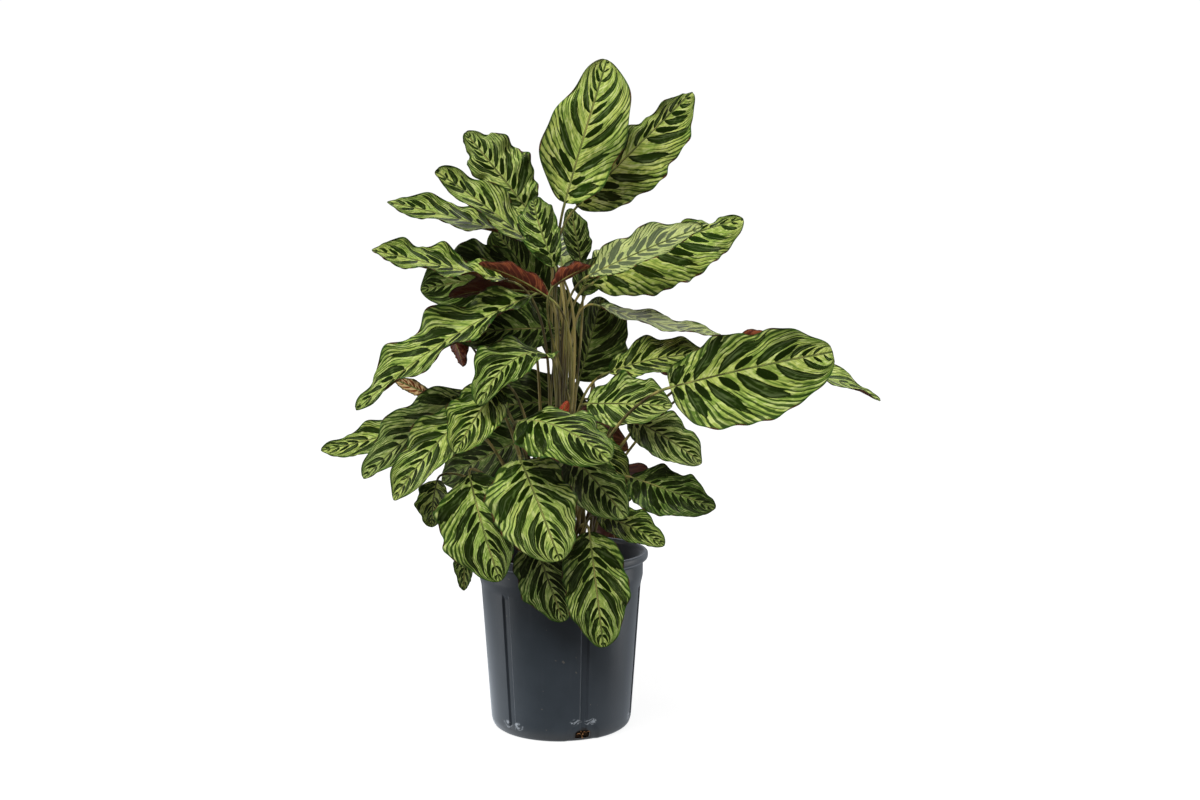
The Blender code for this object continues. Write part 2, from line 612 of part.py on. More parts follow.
def drain_cutter():
    """Arched blocks that cut the drain holes at the foot of every second groove."""
    points = []
    faces = []
    half = DRAIN_WIDTH / 2.0
    crown = DRAIN_BOTTOM + DRAIN_HEIGHT
    shoulder = crown - DRAIN_CORNER / 4.0
    side_top = shoulder - DRAIN_CORNER
    arch = [(-half, DRAIN_BOTTOM), (half, DRAIN_BOTTOM), (half, side_top), (half - DRAIN_CORNER, shoulder)]
    arch += [(0.0, crown), (-half + DRAIN_CORNER, shoulder), (-half, side_top)]
    inner = BASE_RADIUS - 1 * MM
    outer = BODY_TOP_RADIUS
    count = len(arch)
    for g in range(0, GROOVES, HOLE_EVERY):
        angle = FIRST_GROOVE + 2.0 * math.pi * g / GROOVES
        outward = Vector((math.cos(angle), math.sin(angle), 0))
        sideways = Vector((-math.sin(angle), math.cos(angle), 0))
        start = len(points)
        for radius in (inner, outer):
            for across, height in arch:
                points.append(outward * radius + sideways * across + Vector((0, 0, height)))
        faces.append([start + k for k in range(count)][::-1])
        faces.append([start + count + k for k in range(count)])
        for k in range(count):
            n = (k + 1) % count
            faces.append((start + k, start + n, start + count + n, start + count + k))
    cutter = add_object("drain_cutter", points, faces, [])
    cutter.hide_render = True
    cutter.display_type = "WIRE"
    return cutter


def make_pot(plastic):
    skin = Skin()
    angles = pot_angles()
    rows = []
    for radius, z, depth in pot_rows():
        loop = []
        for angle, groove in angles:
            reach = radius - depth * groove
            loop.append(Vector((reach * math.cos(angle), reach * math.sin(angle), z)))
        rows.append(skin.add(loop))
    for lower, upper in zip(rows, rows[1:]):
        skin.tube(lower, upper, 0)
    underside = skin.add([Vector((0, 0, 0))])[0]
    floor = skin.add([Vector((0, 0, FLOOR))])[0]
    skin.fan(rows[0], underside, 0)
    skin.fan(rows[-1], floor, 0)
    pot = add_object("pot", skin.points, skin.triangles, [plastic])
    cut = pot.modifiers.new("drain_holes", "BOOLEAN")
    cut.operation = "DIFFERENCE"
    cut.solver = "EXACT"
    cut.object = drain_cutter()
    shade(pot, POT_SMOOTH)
    return pot, skin


def soil_height(x, y):
    """Level of the soil: a low mound about the stems, with shallow bumps."""
    radius = math.hypot(x, y)
    mound = SOIL_MOUND * math.exp(-(radius / MOUND_RADIUS) ** 2)
    along_x, along_y = [2.0 * math.pi * rate for rate in BUMPS_PER_METRE]
    bumps = SOIL_BUMP * math.sin(x * along_x + 1.0) * math.sin(y * along_y + 2.0)
    fade = 1.0 - min(radius / SOIL_RADIUS, 1.0) ** 4
    return SOIL_TOP + mound + bumps * fade


def soil_side_rows():
    """Radius and height of the soil's side, from the top edge down. It clears the pot's grooves."""
    low = FOOT_HEIGHT + GROOVE_RUNOUT
    high = BODY_TOP - GROOVE_RUNOUT
    inset = WALL + GAP + FACET_ROOM
    return [
        (SOIL_RADIUS, BAND_BOTTOM + 1 * MM),
        (BODY_TOP_RADIUS - inset, BODY_TOP + 1 * MM),
        (body_radius(high) - inset - GROOVE_DEPTH, high),
        (body_radius(low) - inset - GROOVE_DEPTH, low),
        (BODY_BOTTOM_RADIUS - FOOT_ROUND - inset - 1.0 * MM, FLOOR + GAP),
    ]


def make_soil(mix, stems):
    """Closed solid with a blind hole for each stem."""
    skin = Skin()
    sides = []
    for k in range(SOIL_SIDES):
        angle = 2.0 * math.pi * k / SOIL_SIDES
        sides.append(Vector((math.cos(angle), math.sin(angle), 0)))
    flat = [side.xy * SOIL_RADIUS for side in sides]
    loops = [list(range(SOIL_SIDES))]
    for stem in stems:
        start = len(flat)
        for point in stem.rings(STEM_RINGS, STEM_SIDES, HOLE_CLEARANCE)[0]:
            flat.append(point.xy.copy())
        loops.append(list(range(start, len(flat))))
    steps = int(SOIL_RADIUS / SOIL_GRID)
    for i in range(-steps, steps + 1):
        for j in range(-steps, steps + 1):
            spot = Vector((i * SOIL_GRID, j * SOIL_GRID))
            near_stem = any((stem.root.xy - spot).length < GRID_TO_STEM for stem in stems)
            if spot.length < SOIL_RADIUS - GRID_TO_EDGE and not near_stem:
                flat.append(spot)
    edges = [(loop[k], loop[(k + 1) % len(loop)]) for loop in loops for k in range(len(loop))]
    spots, _, triangles, origins, _, _ = delaunay_2d_cdt(flat, edges, [], 0, 1e-6)
    number = {old: new for new, olds in enumerate(origins) for old in olds}
    top = skin.add([Vector((spot.x, spot.y, soil_height(spot.x, spot.y))) for spot in spots])
    for index in loops[0]:
        skin.points[top[number[index]]].z = SOIL_TOP
    hole_of = {number[index]: k for k, loop in enumerate(loops[1:]) for index in loop}
    for a, b, c in triangles:
        inside_one_hole = a in hole_of and hole_of.get(a) == hole_of.get(b) == hole_of.get(c)
        if not inside_one_hole:
            skin.face(a, b, c, 0)
    for stem, loop in zip(stems, loops[1:]):
        mouth = [number[index] for index in loop]
        depth = stem.root.z - STEM_RISE - HOLE_DEPTH
        bottom = skin.add([Vector((*skin.points[k].xy, depth)) for k in mouth])
        skin.tube(mouth, bottom, 0)
        for k in range(1, len(bottom) - 1):
            skin.face(bottom[0], bottom[k], bottom[k + 1], 0)
    upper = [number[index] for index in loops[0]]
    for radius, z in soil_side_rows():
        lower = skin.add([side * radius + Vector((0, 0, z)) for side in sides])
        skin.tube(upper, lower, 0)
        upper = lower
    middle = skin.add([Vector((0, 0, FLOOR + GAP))])[0]
    skin.fan(upper, middle, 0)
    soil = add_object("soil", skin.points, skin.triangles, [mix])
    shade(soil, SOIL_SMOOTH)
    return soil


def make_leaves(pot_skin, materials):
    """Place the leaves one after another, each clear of the pot and of those before it."""
    wanted = wanted_roots(LEAVES)
    free = crown_places(len(LEAVES) + SPARE_ROOTS)
    points = list(pot_skin.points)
    triangles = list(pot_skin.triangles)
    made = []
    stems = []
    for leaf in LEAVES:
        obstacles = BVHTree.FromPolygons(points, triangles)
        nearest = sorted(free, key=lambda place: (place.xy - wanted[leaf.name]).length)
        blade, stem = settle(leaf, nearest[:ROOTS_TRIED], obstacles)
        free.remove(stem.root)
        skin = leaf_skin(blade, stem)
        start = len(points)
        points.extend(skin.points)
        triangles.extend((a + start, b + start, c + start) for a, b, c in skin.triangles)
        thing = add_object(leaf.name, skin.points, skin.triangles, materials, stem.root)
        for face, slot in zip(thing.data.polygons, skin.materials):
            face.material_index = slot
        shade(thing, LEAF_SMOOTH)
        made.append(thing)
        stems.append(stem)
    return made, stems


def main():
    clear_scene()
    plastic = material("pot_plastic", POT_GREY, 0.45)
    mix = material("potting_mix", SOIL_BROWN, 0.95)
    green = material("leaf_upper", UPPER_GREEN, 0.42)
    red = material("leaf_underside", UNDER_RED, 0.5)
    olive = material("leaf_stem", STEM_OLIVE, 0.5)
    plant = bpy.data.objects.new("plant", None)
    bpy.context.scene.collection.objects.link(plant)
    pot, pot_skin = make_pot(plastic)
    leaves, stems = make_leaves(pot_skin, [green, red, olive])
    soil = make_soil(mix, stems)
    for thing in [pot, soil] + leaves:
        thing.parent = plant


main()
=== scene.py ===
"""Looks of a potted peacock plant, grown round its fixed frame. Metres, +Z up, -Y is the plant's front.

Each leaf of the frame gives way to a finer one of the same form. Its place is found again by the rule that
placed the frame's leaf, and Geometry Nodes grow the blade from the leaf's sizes and the stem along its path.
"""
import math
import random
from dataclasses import dataclass

import bmesh
import bpy
from mathutils import Matrix, Vector, noise
from mathutils.bvhtree import BVHTree


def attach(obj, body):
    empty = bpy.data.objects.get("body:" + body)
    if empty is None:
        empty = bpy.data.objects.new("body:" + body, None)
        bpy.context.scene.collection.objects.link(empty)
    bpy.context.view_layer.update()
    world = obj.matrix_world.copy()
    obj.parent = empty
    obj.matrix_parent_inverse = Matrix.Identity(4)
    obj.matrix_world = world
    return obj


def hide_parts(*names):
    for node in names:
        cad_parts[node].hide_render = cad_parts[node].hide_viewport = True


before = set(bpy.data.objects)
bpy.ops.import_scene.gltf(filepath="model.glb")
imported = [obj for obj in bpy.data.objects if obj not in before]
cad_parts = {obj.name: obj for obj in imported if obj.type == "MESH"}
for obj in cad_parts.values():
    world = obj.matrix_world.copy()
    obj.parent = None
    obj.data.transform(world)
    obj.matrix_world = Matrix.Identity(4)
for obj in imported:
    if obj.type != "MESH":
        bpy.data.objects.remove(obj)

CM = 0.01
MM = 0.001
TURN = 2.0 * math.pi

# Pot
POT_HEIGHT = 225 * MM
LIP_RADIUS = 112 * MM
LIP_HEIGHT = 9.5 * MM
LIP_ROUND = 2 * MM
BAND_RADIUS = 105.2 * MM
BAND_BOTTOM = 194 * MM
BODY_TOP = 183 * MM
BODY_TOP_RADIUS = 102.4 * MM
BODY_BOTTOM_RADIUS = 90.0 * MM
FOOT_HEIGHT = 10 * MM
FOOT_ROUND = 2.4 * MM
BASE_RADIUS = 83 * MM
WALL = 1.8 * MM
FLOOR = 3 * MM
GROOVES = 6
GROOVE_DEPTH = 2.4 * MM
GROOVE_HALF_ANGLE = math.radians(2.0)
GROOVE_RUNOUT = 6 * MM
FIRST_GROOVE = math.radians(19 - 90)
POT_STEPS_BETWEEN_GROOVES = 4
DRAIN_WIDTH = 19 * MM
DRAIN_HEIGHT = 11 * MM
DRAIN_BOTTOM = 3.6 * MM
DRAIN_CORNER = 4 * MM

# What the fine pot adds
SECTOR = TURN / GROOVES
OUTSIDE_ROWS = 11               # rows of the frame pot's profile up to the top of the lip
UNDERSIDE_RINGS = 4             # steps from the middle of the underside, and of the floor, to its edge
OUTSIDE_STEP = 3 * MM           # longest stretch of the profile
INSIDE_STEP = 8 * MM
OUTSIDE_ROUND = 3 * MM
INSIDE_ROUND = 2 * MM
GROOVE_REACH = math.radians(3.4)    # from the middle of a groove to its edge
GROOVE_BED = 0.62               # the flat share of a groove's width
COLUMNS_REACH = 1.2             # how far out the close columns go, as a share of that
COLUMNS_OVER_GROOVE = 26
COLUMNS_BETWEEN_GROOVES = 34
HEEL_HEIGHT = 29 * MM           # arched step round a drain hole
HEEL_HALF_WIDTH = 22 * MM
HEEL_DEPTH = 1.6 * MM
HEEL_EDGE = 0.1                 # share of the heel over which its step rises
HOLE_EVERY = 2                  # every second groove has a drain hole
SHARP_POT_EDGE = math.radians(40)

# Soil
SOIL_TOP = 196 * MM
SOIL_MOUND = 5 * MM
MOUND_RADIUS = 50 * MM
SOIL_BUMP = 1.3 * MM
BUMPS_PER_METRE = (41.4, 36.6)
GAP = 0.3 * MM
FACET_ROOM = 0.4 * MM
SOIL_RADIUS = BAND_RADIUS - WALL - GAP - FACET_ROOM
HOLE_DEPTH = 12 * MM
STEM_RISE = 3 * MM

# What the fine soil adds
SOIL_RINGS = 44
SOIL_COLUMNS = 120
SOIL_SIDE_STEP = 6 * MM
TOP_LUMP = 1.1                  # height of the lumps on top, in millimetres
TOP_LUMPS_PER_METRE = 90
SIDE_LUMP = 0.012               # depth of those at the side, as a share of the radius
SIDE_LUMPS_PER_METRE = 120
LUMPINESS = (0.7, 2.1)          # how fast smaller lumps get flatter, and how much smaller each size is
CRUMB_MARGIN = 3 * MM           # bare strip between the crumbs and the pot
CRUMB_GROUND_RINGS = 16
CRUMB_GROUND_COLUMNS = 32
MOST_CRUMBS = 60000.0           # to the square metre

# Root ends in the drain holes
ROOTS_PER_HOLE = 7
ROOT_STEPS = 6
ROOT_THICKNESS = 0.7 * MM
ROOT_TAPER = 0.7                # how much thinner a root is at its end, as a share
ROOT_SPREAD = 7.0               # how far from the middle of the hole a root starts, in millimetres
ROOT_HEIGHTS = (1.5, 8.0)       # above the foot of the hole, in millimetres
ROOT_LEAN = 4
ROOT_INSET = 6 * MM
ROOT_BULGE = 4.2 * MM
ROOT_SWING = 0.8 * MM
ROOT_RISE = 2.4 * MM

# Blades
BLADE_THICKNESS = 0.8 * MM
KEEL = 0.9 * MM
SCALLOP = 0.35
WIDEST_NEAR_STEM = 0.85
SECTION = (-1.0, -0.55, 0.0, 0.55, 1.0)
END_MARGIN = 0.03
CROWDED_ENDS = 0.3

# Stems
STEM_SIDES = 5
STEM_RINGS = 6
THIN_FOOT = 1.7 * MM
THIN_TOP = 1.1 * MM
FOOT_PER_WIDTH = 0.009
TOP_PER_WIDTH = 0.005
UPRIGHT = 0.45
BEND = 0.2
CROWDED_TOP = 1.35
CROWN_PITCH = 5.6 * MM
GOLDEN_ANGLE = math.radians(137.508)

# What a leaf may do to stay clear of the others
CLEARANCE = 1.2 * MM
SHIFT_STEP = 4 * MM
MOST_SHIFTS = 16
LIFTS = (0, 4 * MM, -4 * MM, 8 * MM, -8 * MM)
LIFT_COST = 3.0
BOW_STEP = 8 * MM
MOST_BOWS = 7
BOW_DIRECTIONS = 10
ROOTS_TRIED = 8
SPARE_ROOTS = 10

# What the fine blades add
BLADE_ROWS = 92
BLADE_COLUMNS = 13              # on each side of the midrib, above and below
CLOSE_MARGINS = 0.25            # the higher, the closer together the columns are at the margins
FINE_THICKNESS = 0.7 * MM
MARGIN_POWER = 6.0              # the higher, the nearer to the margin the blade thins out
PLEAT = 0.0030                  # height of the swell between side veins, as a share of the length
CREASE = 0.6 * MM
CREASE_WIDTH = 5 * MM
FRILL = 12 * MM                 # height of the margin's small waves, per unit of the blade's wave
FRILLS_PER_WAVE = 2.4
FRILL_OFFSET = 0.37             # of the right margin's small waves from the left one's, in waves
NOTCH = 0.20                    # how much the small waves change the width, per unit of the blade's wave
VEIN_LEAN = 0.95                # how far a side vein runs forward on its way out, in half widths
VEIN_BEND = 0.65                # and how much farther because it bends forward
VEINS = 5.4                     # side veins on each half of a short blade
VEINS_PER_METRE = 7.0           # and how many more a longer one has
WELD = 0.03 * MM
SHARP_LEAF_EDGE = math.radians(70)

# What the fine stems add
STEM_STEPS = 30
ROUND_STEM_SIDES = 10
UNDER_BLADE = 0.8               # how far the stem lies under the blade's middle, in radii
SINKING_SHARE = 0.1             # the stretch of stem over which it gets there
KNEE_LENGTH = 14 * MM           # the swollen stretch under the blade
KNEE_SWELL = 0.12
MIDRIB_STEPS = 24
MIDRIB_END = 0.97
MIDRIB_TIP = 0.35 * MM
MIDRIB_TAPER = 0.7
MIDRIB_DROP = 0.2 * MM

# Markings. Widths are shares of the room between side veins, reaches are shares of the blade's half width
BLOTCH_START = 0.02
BLOTCH_REACH = 0.86
BLOTCH_WIDTH = 0.26
DOT_START = 0.03
DOTS_LEFT_OUT = 0.3             # share of the places between blotches that have no dot
PINSTRIPES = 5.0                # to each side vein
MARKING_EDGE = (-0.012, 0.018)
THINNING = (0.78, 0.98)         # where along the blade the markings thin out towards the tip
THINNED_BY = 0.6
MARGIN_BAND = (2.8, 0.8)        # millimetres from the margin, where its dark band starts and is full
RIB_BAND = (1.5, 0.6)           # millimetres from the midrib, likewise
FLANK_BAND = (7.0, 1.5)         # and the paler strip beside it

# How green a leaf is by its height, where it has no depth of its own: low leaves deeper green, partly their
# own colour and partly painted shade
LOW_DEPTH = 1.15
HEIGHT_PER_DEPTH = 60.0         # centimetres
DEPTH_SPREAD = 0.2

# Studio
ROOM_LIGHT = 0.33               # light from all round; the background itself is plain white
BACKGROUND = 1.03               # just above white, so that no noise shows in it
ROOM_GLOSS = 0.1                # what of it glossy surfaces mirror, as in a room with dark walls
PLANT_MIDDLE = (0, 0, 0.4)
PANELS = {                      # place, size and power of each lamp panel
    "left_panel": ((-1.5, 0.0, 0.5), (0.7, 1.8), 7.0),
    "right_panel": ((1.6, 0.2, 0.5), (0.7, 1.8), 10.0),
    "top_panel": ((0.2, 1.3, 2.0), (2.0, 1.4), 14.0),
}


@dataclass
class Leaf:
    """One leaf. Places are in centimetres from the middle of the pot's underside, angles in degrees."""

    name: str
    base: tuple            # where the blade starts, on top of its stem
    tip: tuple             # the blade's point
    width: float           # the blade's widest, laid flat
    faces: tuple           # the way the upper side looks
    arch: float = 0.07     # rise of the middle towards the upper side, as a share of the length
    uneven: float = 0.0    # how much wider the half on the +across side is than the mean, as a share
    twist: float = 0.0     # turn of the tip about the midrib
    cup: float = 25.0      # angle that the margins curl up from the flat
    wave: float = 0.13     # height of the margin's waves, as a share of half the width
    waves: float = 2.6     # how many of them run along the blade
    crests: tuple = ()     # where a wave's crest is on the left and the right margin, as shares of the length
    point: float = 0.62    # outline: 0.5 is blunt, 0.9 is long pointed
    rows: int = 10         # steps along the frame's blade
    depth: float = 0.0     # colour: 1 deep green, partly painted shade; more is painted shade; -1 paler; 0 by the height
    crowding: float = 0.1  # how much closer together the side veins are at both ends than on average


LEAVES = (
    # The top
    Leaf("leaf_top_front", (0.6, -2, 66.6), (5.9, 1, 84.7), 10.0, (0, -1, 0.2), arch=0.04, cup=18,
         uneven=0.08, wave=0.24, waves=1.2, crests=(0.32, 0.75), point=0.56),
    Leaf("leaf_top_right", (2.0, 4, 66.5), (17.1, 8, 81.7), 7.8, (0.2, -1, 0.25), arch=0.03, uneven=0.4,
         wave=0.22, waves=3.2, depth=0.35),
    Leaf("leaf_top_left", (-4.0, 3, 65.7), (-12.4, 5, 76.1), 7.2, (-0.1, -1, 0.2), cup=18, wave=0.24,
         uneven=0.2, waves=3.2, crests=(0.66, 0.4), point=0.72, depth=0.3),
    Leaf("leaf_upright", (-0.5, -6, 58.6), (-3.4, 1, 67.2), 5.0, (-0.2, -1, 0.2), arch=0.16, depth=1.0),
    Leaf("leaf_top_small", (2.5, 7, 59.2), (1.0, 9, 66.6), 3.8, (0.2, -1, 0.1), rows=6, depth=1.0),
    # Upper left
    Leaf("leaf_slant_left", (-0.8, -3, 58.8), (-15.3, -6, 70.4), 6.4, (0.45, -0.35, 0.8), arch=0.03,
         point=0.48, wave=0.18, twist=-34, uneven=0.12, depth=0.45),
    Leaf("leaf_edge_left", (-3.7, 1, 61.9), (-22.2, 2, 67.0), 6.2, (0.2, -0.2, 0.95), arch=0.02, twist=-40,
         wave=0.17, crests=(0.62, 0.76), depth=0.75),
    Leaf("leaf_rolled_left", (-6.4, -4, 57.0), (-22.6, -8, 60.6), 6.4, (0.1, -0.25, 0.97), cup=30, arch=0.0,
         twist=-36, wave=0.2, waves=3.0, crests=(0.62, 0.82), point=0.54, depth=0.4),
    Leaf("leaf_left_behind", (-5.2, 6, 58.0), (-18.3, 4, 55.8), 9.8, (-0.1, -1, 0.2), rows=8, depth=1.4),
    Leaf("leaf_red_upper", (-1.2, -7, 54.9), (-9.6, -9, 58.9), 3.2, (-0.2, 0.6, 0.8), cup=70, rows=7),
    Leaf("leaf_red_underside", (-2.5, 0, 55.5), (-13.9, -3, 54.9), 5.2, (0, 0.6, 0.8), cup=45, rows=8,
         depth=1.0),
    Leaf("leaf_back_left", (-2, 8, 54.5), (-9, 9, 63.8), 9.0, (-0.1, -1, 0.3), rows=8, depth=1.4),
    # Left side
    Leaf("leaf_long_left", (-3.4, -5, 55.2), (-24.2, -11, 41.4), 8.8, (-0.35, -0.55, 0.75), wave=0.2,
         arch=0.05, uneven=0.2, waves=3.4, crests=(0.5, 0.72), point=0.7, depth=0.8),
    Leaf("leaf_inner_left", (-1.0, 3, 50.9), (-13.5, 1, 50), 7.4, (-0.2, -0.9, 0.3), rows=8, depth=1.4),
    Leaf("leaf_inner_high", (-0.6, 4, 50.6), (-11, 1, 54), 6.2, (0.1, -0.9, 0.4), rows=8, depth=1.4),
    Leaf("leaf_red_tip", (-14.4, 0, 51.2), (-12.3, -1, 46.1), 2.8, (0.4, 1, 0.3), cup=40, rows=6,
         depth=0.35),
    Leaf("leaf_young_left", (-17.8, 8, 41.9), (-22.5, 8, 44), 2.1, (0, -1, 0.3), cup=45, rows=6,
         depth=-2.0),
    Leaf("leaf_far_left", (-15.1, 2, 39.6), (-30.9, 1, 35.2), 6.2, (-0.2, -0.7, 0.7), wave=0.16, arch=-0.03,
         uneven=-0.2, depth=0.6),
    Leaf("leaf_left_droop", (-11, -3, 42.9), (-24.1, -7, 32.6), 7.4, (-0.4, -0.75, 0.55), arch=0.05,
         uneven=0.15, depth=0.6),
    Leaf("leaf_left_front", (-9.3, -8, 42.3), (-19.7, -12, 30.7), 7.4, (-0.4, -0.8, 0.45), depth=0.6),
    Leaf("leaf_left_low", (-16.0, 1, 31.4), (-16.6, 0, 25.4), 4.6, (-0.3, -0.95, 0.2), rows=8),
    Leaf("leaf_left_small", (-11.9, 0, 24.6), (-12.1, -2, 18.1), 2.8, (-0.1, -1, 0.1), rows=6),
    # Front
    Leaf("leaf_arching", (-1.4, -5, 47.8), (-9.3, -14, 42.2), 8.6, (-0.1, -0.5, 0.85), arch=0.2, wave=0.12,
         depth=1.0),
    Leaf("leaf_front_left", (-7.3, -8, 44.0), (-12.1, -12, 36.5), 7.2, (-0.2, -0.9, 0.4), rows=8),
    Leaf("leaf_front_low_left", (-10.7, -11, 33.7), (-6.7, -16, 21.7), 9.4, (-0.2, -1, 0.3), cup=15,
         uneven=0.12, depth=1.0),
    Leaf("leaf_front_middle", (-4.5, -12, 35.6), (0.4, -19, 24.7), 10.2, (0.05, -1, 0.5), cup=18, point=0.5,
         uneven=0.16),
    Leaf("leaf_front_flat", (-4.6, -12, 40.3), (6.2, -20, 36.4), 9.2, (0.12, -0.7, 0.75), arch=0.13,
         cup=-22, point=0.52, uneven=0.06, depth=1.0),
    Leaf("leaf_front_right", (0.6, -8, 36.4), (8.1, -15, 29), 7.6, (0.15, -1, 0.45), point=0.52,
         uneven=0.2),
    Leaf("leaf_over_lip", (3.7, -13, 27.1), (5.4, -15.5, 13.7), 7.8, (0.05, -1, 0.15), cup=12, point=0.56,
         depth=0.8),
    Leaf("leaf_over_lip_left", (-3.0, -13, 26.4), (0.7, -15, 16.4), 7.4, (-0.1, -1, 0.15), cup=12, rows=8),
    # Right side
    Leaf("leaf_big_right", (13.1, -16, 44.5), (31.3, -20, 48.8), 10.8, (0.05, -1, 0.25), cup=16,
         uneven=0.22, wave=0.12, crests=(0.75, 0.6), point=0.44, crowding=0.4),
    Leaf("leaf_mid_right", (3.4, -6, 41.8), (13.8, -9, 41.7), 8.0, (0.1, -0.8, 0.6), arch=0.02),
    Leaf("leaf_under_right", (8.7, -4, 39.8), (17.6, -6, 34.4), 6.8, (0.1, -0.8, 0.6), uneven=0.08),
    Leaf("leaf_low_right", (8.8, -5, 32.6), (19.0, -10, 29.4), 7.4, (0.15, -0.8, 0.55), arch=0.02,
         uneven=0.24, depth=1.5),
    Leaf("leaf_low_inner", (2.5, -3, 38.9), (8.8, -7, 28.9), 4.8, (0.35, -0.9, 0.2), rows=8),
    Leaf("leaf_low_front", (4.9, -9, 28.5), (12.7, -13, 25.4), 5.0, (0.1, -0.75, 0.6), rows=8),
    Leaf("leaf_right_behind", (23.8, 4, 46.5), (41.6, 4, 41.4), 6.8, (0.1, -0.3, 0.93), arch=0.06),
    Leaf("leaf_right_inner", (6.2, 0, 45.4), (18.8, 0, 47.6), 6.8, (0, -0.65, 0.75)),
    Leaf("leaf_rolled_right", (20.4, 2, 46.4), (27.4, 0, 50.4), 3.6, (0.2, 0.4, 0.9), cup=110, rows=7,
         depth=0.3),
    Leaf("leaf_shaded", (2.2, 6, 43.8), (5.2, 10, 54.9), 8.0, (0.1, -1, 0.2), rows=8, uneven=0.3,
         depth=1.4),
    # Upper right
    Leaf("leaf_wavy_right", (4.0, 3, 56.7), (23.7, 6, 65.1), 8.4, (-0.2, -0.85, 0.5), wave=0.2, waves=3.8,
         uneven=0.42, cup=-18, rows=13),
    Leaf("leaf_pale_right", (3.6, -3, 57.6), (17.6, -6, 63.5), 5.4, (-0.1, -0.8, 0.6), arch=0.02,
         uneven=-0.15, wave=0.16, depth=-0.8),
    Leaf("leaf_thin_right", (5.0, 2, 53.8), (20.3, -1, 50.2), 5.4, (0, -0.3, 1), cup=15, wave=0.12,
         arch=-0.03, depth=-0.5),
    Leaf("leaf_red_inner", (-0.7, -9, 56.2), (4.0, -11, 58.6), 2.8, (0.1, 0.5, 0.8), cup=80, rows=7),
    Leaf("leaf_back_small", (2.2, 6, 55.2), (5, 8, 60), 4.2, (0.1, -1, 0.2), rows=6, depth=1.3),
    Leaf("leaf_new_roll", (-0.3, -9, 39.7), (1.1, -9, 42.4), 2.2, (0.3, 1, 0.2), cup=100, rows=6, wave=0.0,
         depth=-1.0),
    # The back, as full as the front
    Leaf("leaf_rear_lip_right", (5, 12, 28), (8, 16, 17), 6.6, (0.3, 1, 0.2), rows=8),
    Leaf("leaf_rear_lip_left", (-7, 12.5, 27.5), (-10, 16.5, 18), 6.4, (-0.4, 1, 0.2), rows=8),
    Leaf("leaf_rear_top", (0, 9, 58.8), (-3, 22, 63.8), 8.4, (-0.1, 0.6, 0.9), arch=0.12, rows=8),
    Leaf("leaf_rear_top_right", (4, 9, 56.8), (14, 24, 59.8), 8.2, (0.2, 0.4, 0.9), arch=0.12, rows=8),
    Leaf("leaf_rear_top_left", (-5, 10, 52.8), (-15, 24, 55), 8.2, (-0.2, 0.4, 0.9), arch=0.12, rows=8),
    Leaf("leaf_rear_right", (6, 9, 46.8), (18, 22, 41.8), 8.2, (0.4, 0.6, 0.7), arch=0.12, rows=8),
    Leaf("leaf_rear_left", (3.6, 11, 44.5), (-3.8, 15, 56.6), 8.4, (0, -1, 0.3), arch=0.03, rows=8,
         depth=1.5),
    Leaf("leaf_rear_middle", (3, 10, 41.2), (-12, 13, 39.6), 8.4, (0, -0.9, 0.4), arch=0.02, rows=8,
         depth=1.5),
    Leaf("leaf_rear_low_right", (7, 10, 31.8), (13, 21, 23.8), 7.6, (0.4, 0.9, 0.4), arch=0.1, rows=8),
    Leaf("leaf_rear_low_left", (-3.5, 8, 36.8), (-16.6, 12, 29.9), 8.2, (-0.1, -0.9, 0.4), arch=0.04,
         rows=8, depth=1.5),
    Leaf("leaf_rear_low_middle", (-3, 12, 37.8), (9, 22, 32.8), 8.4, (0, 1, 0.3), arch=0.1, rows=8),
)


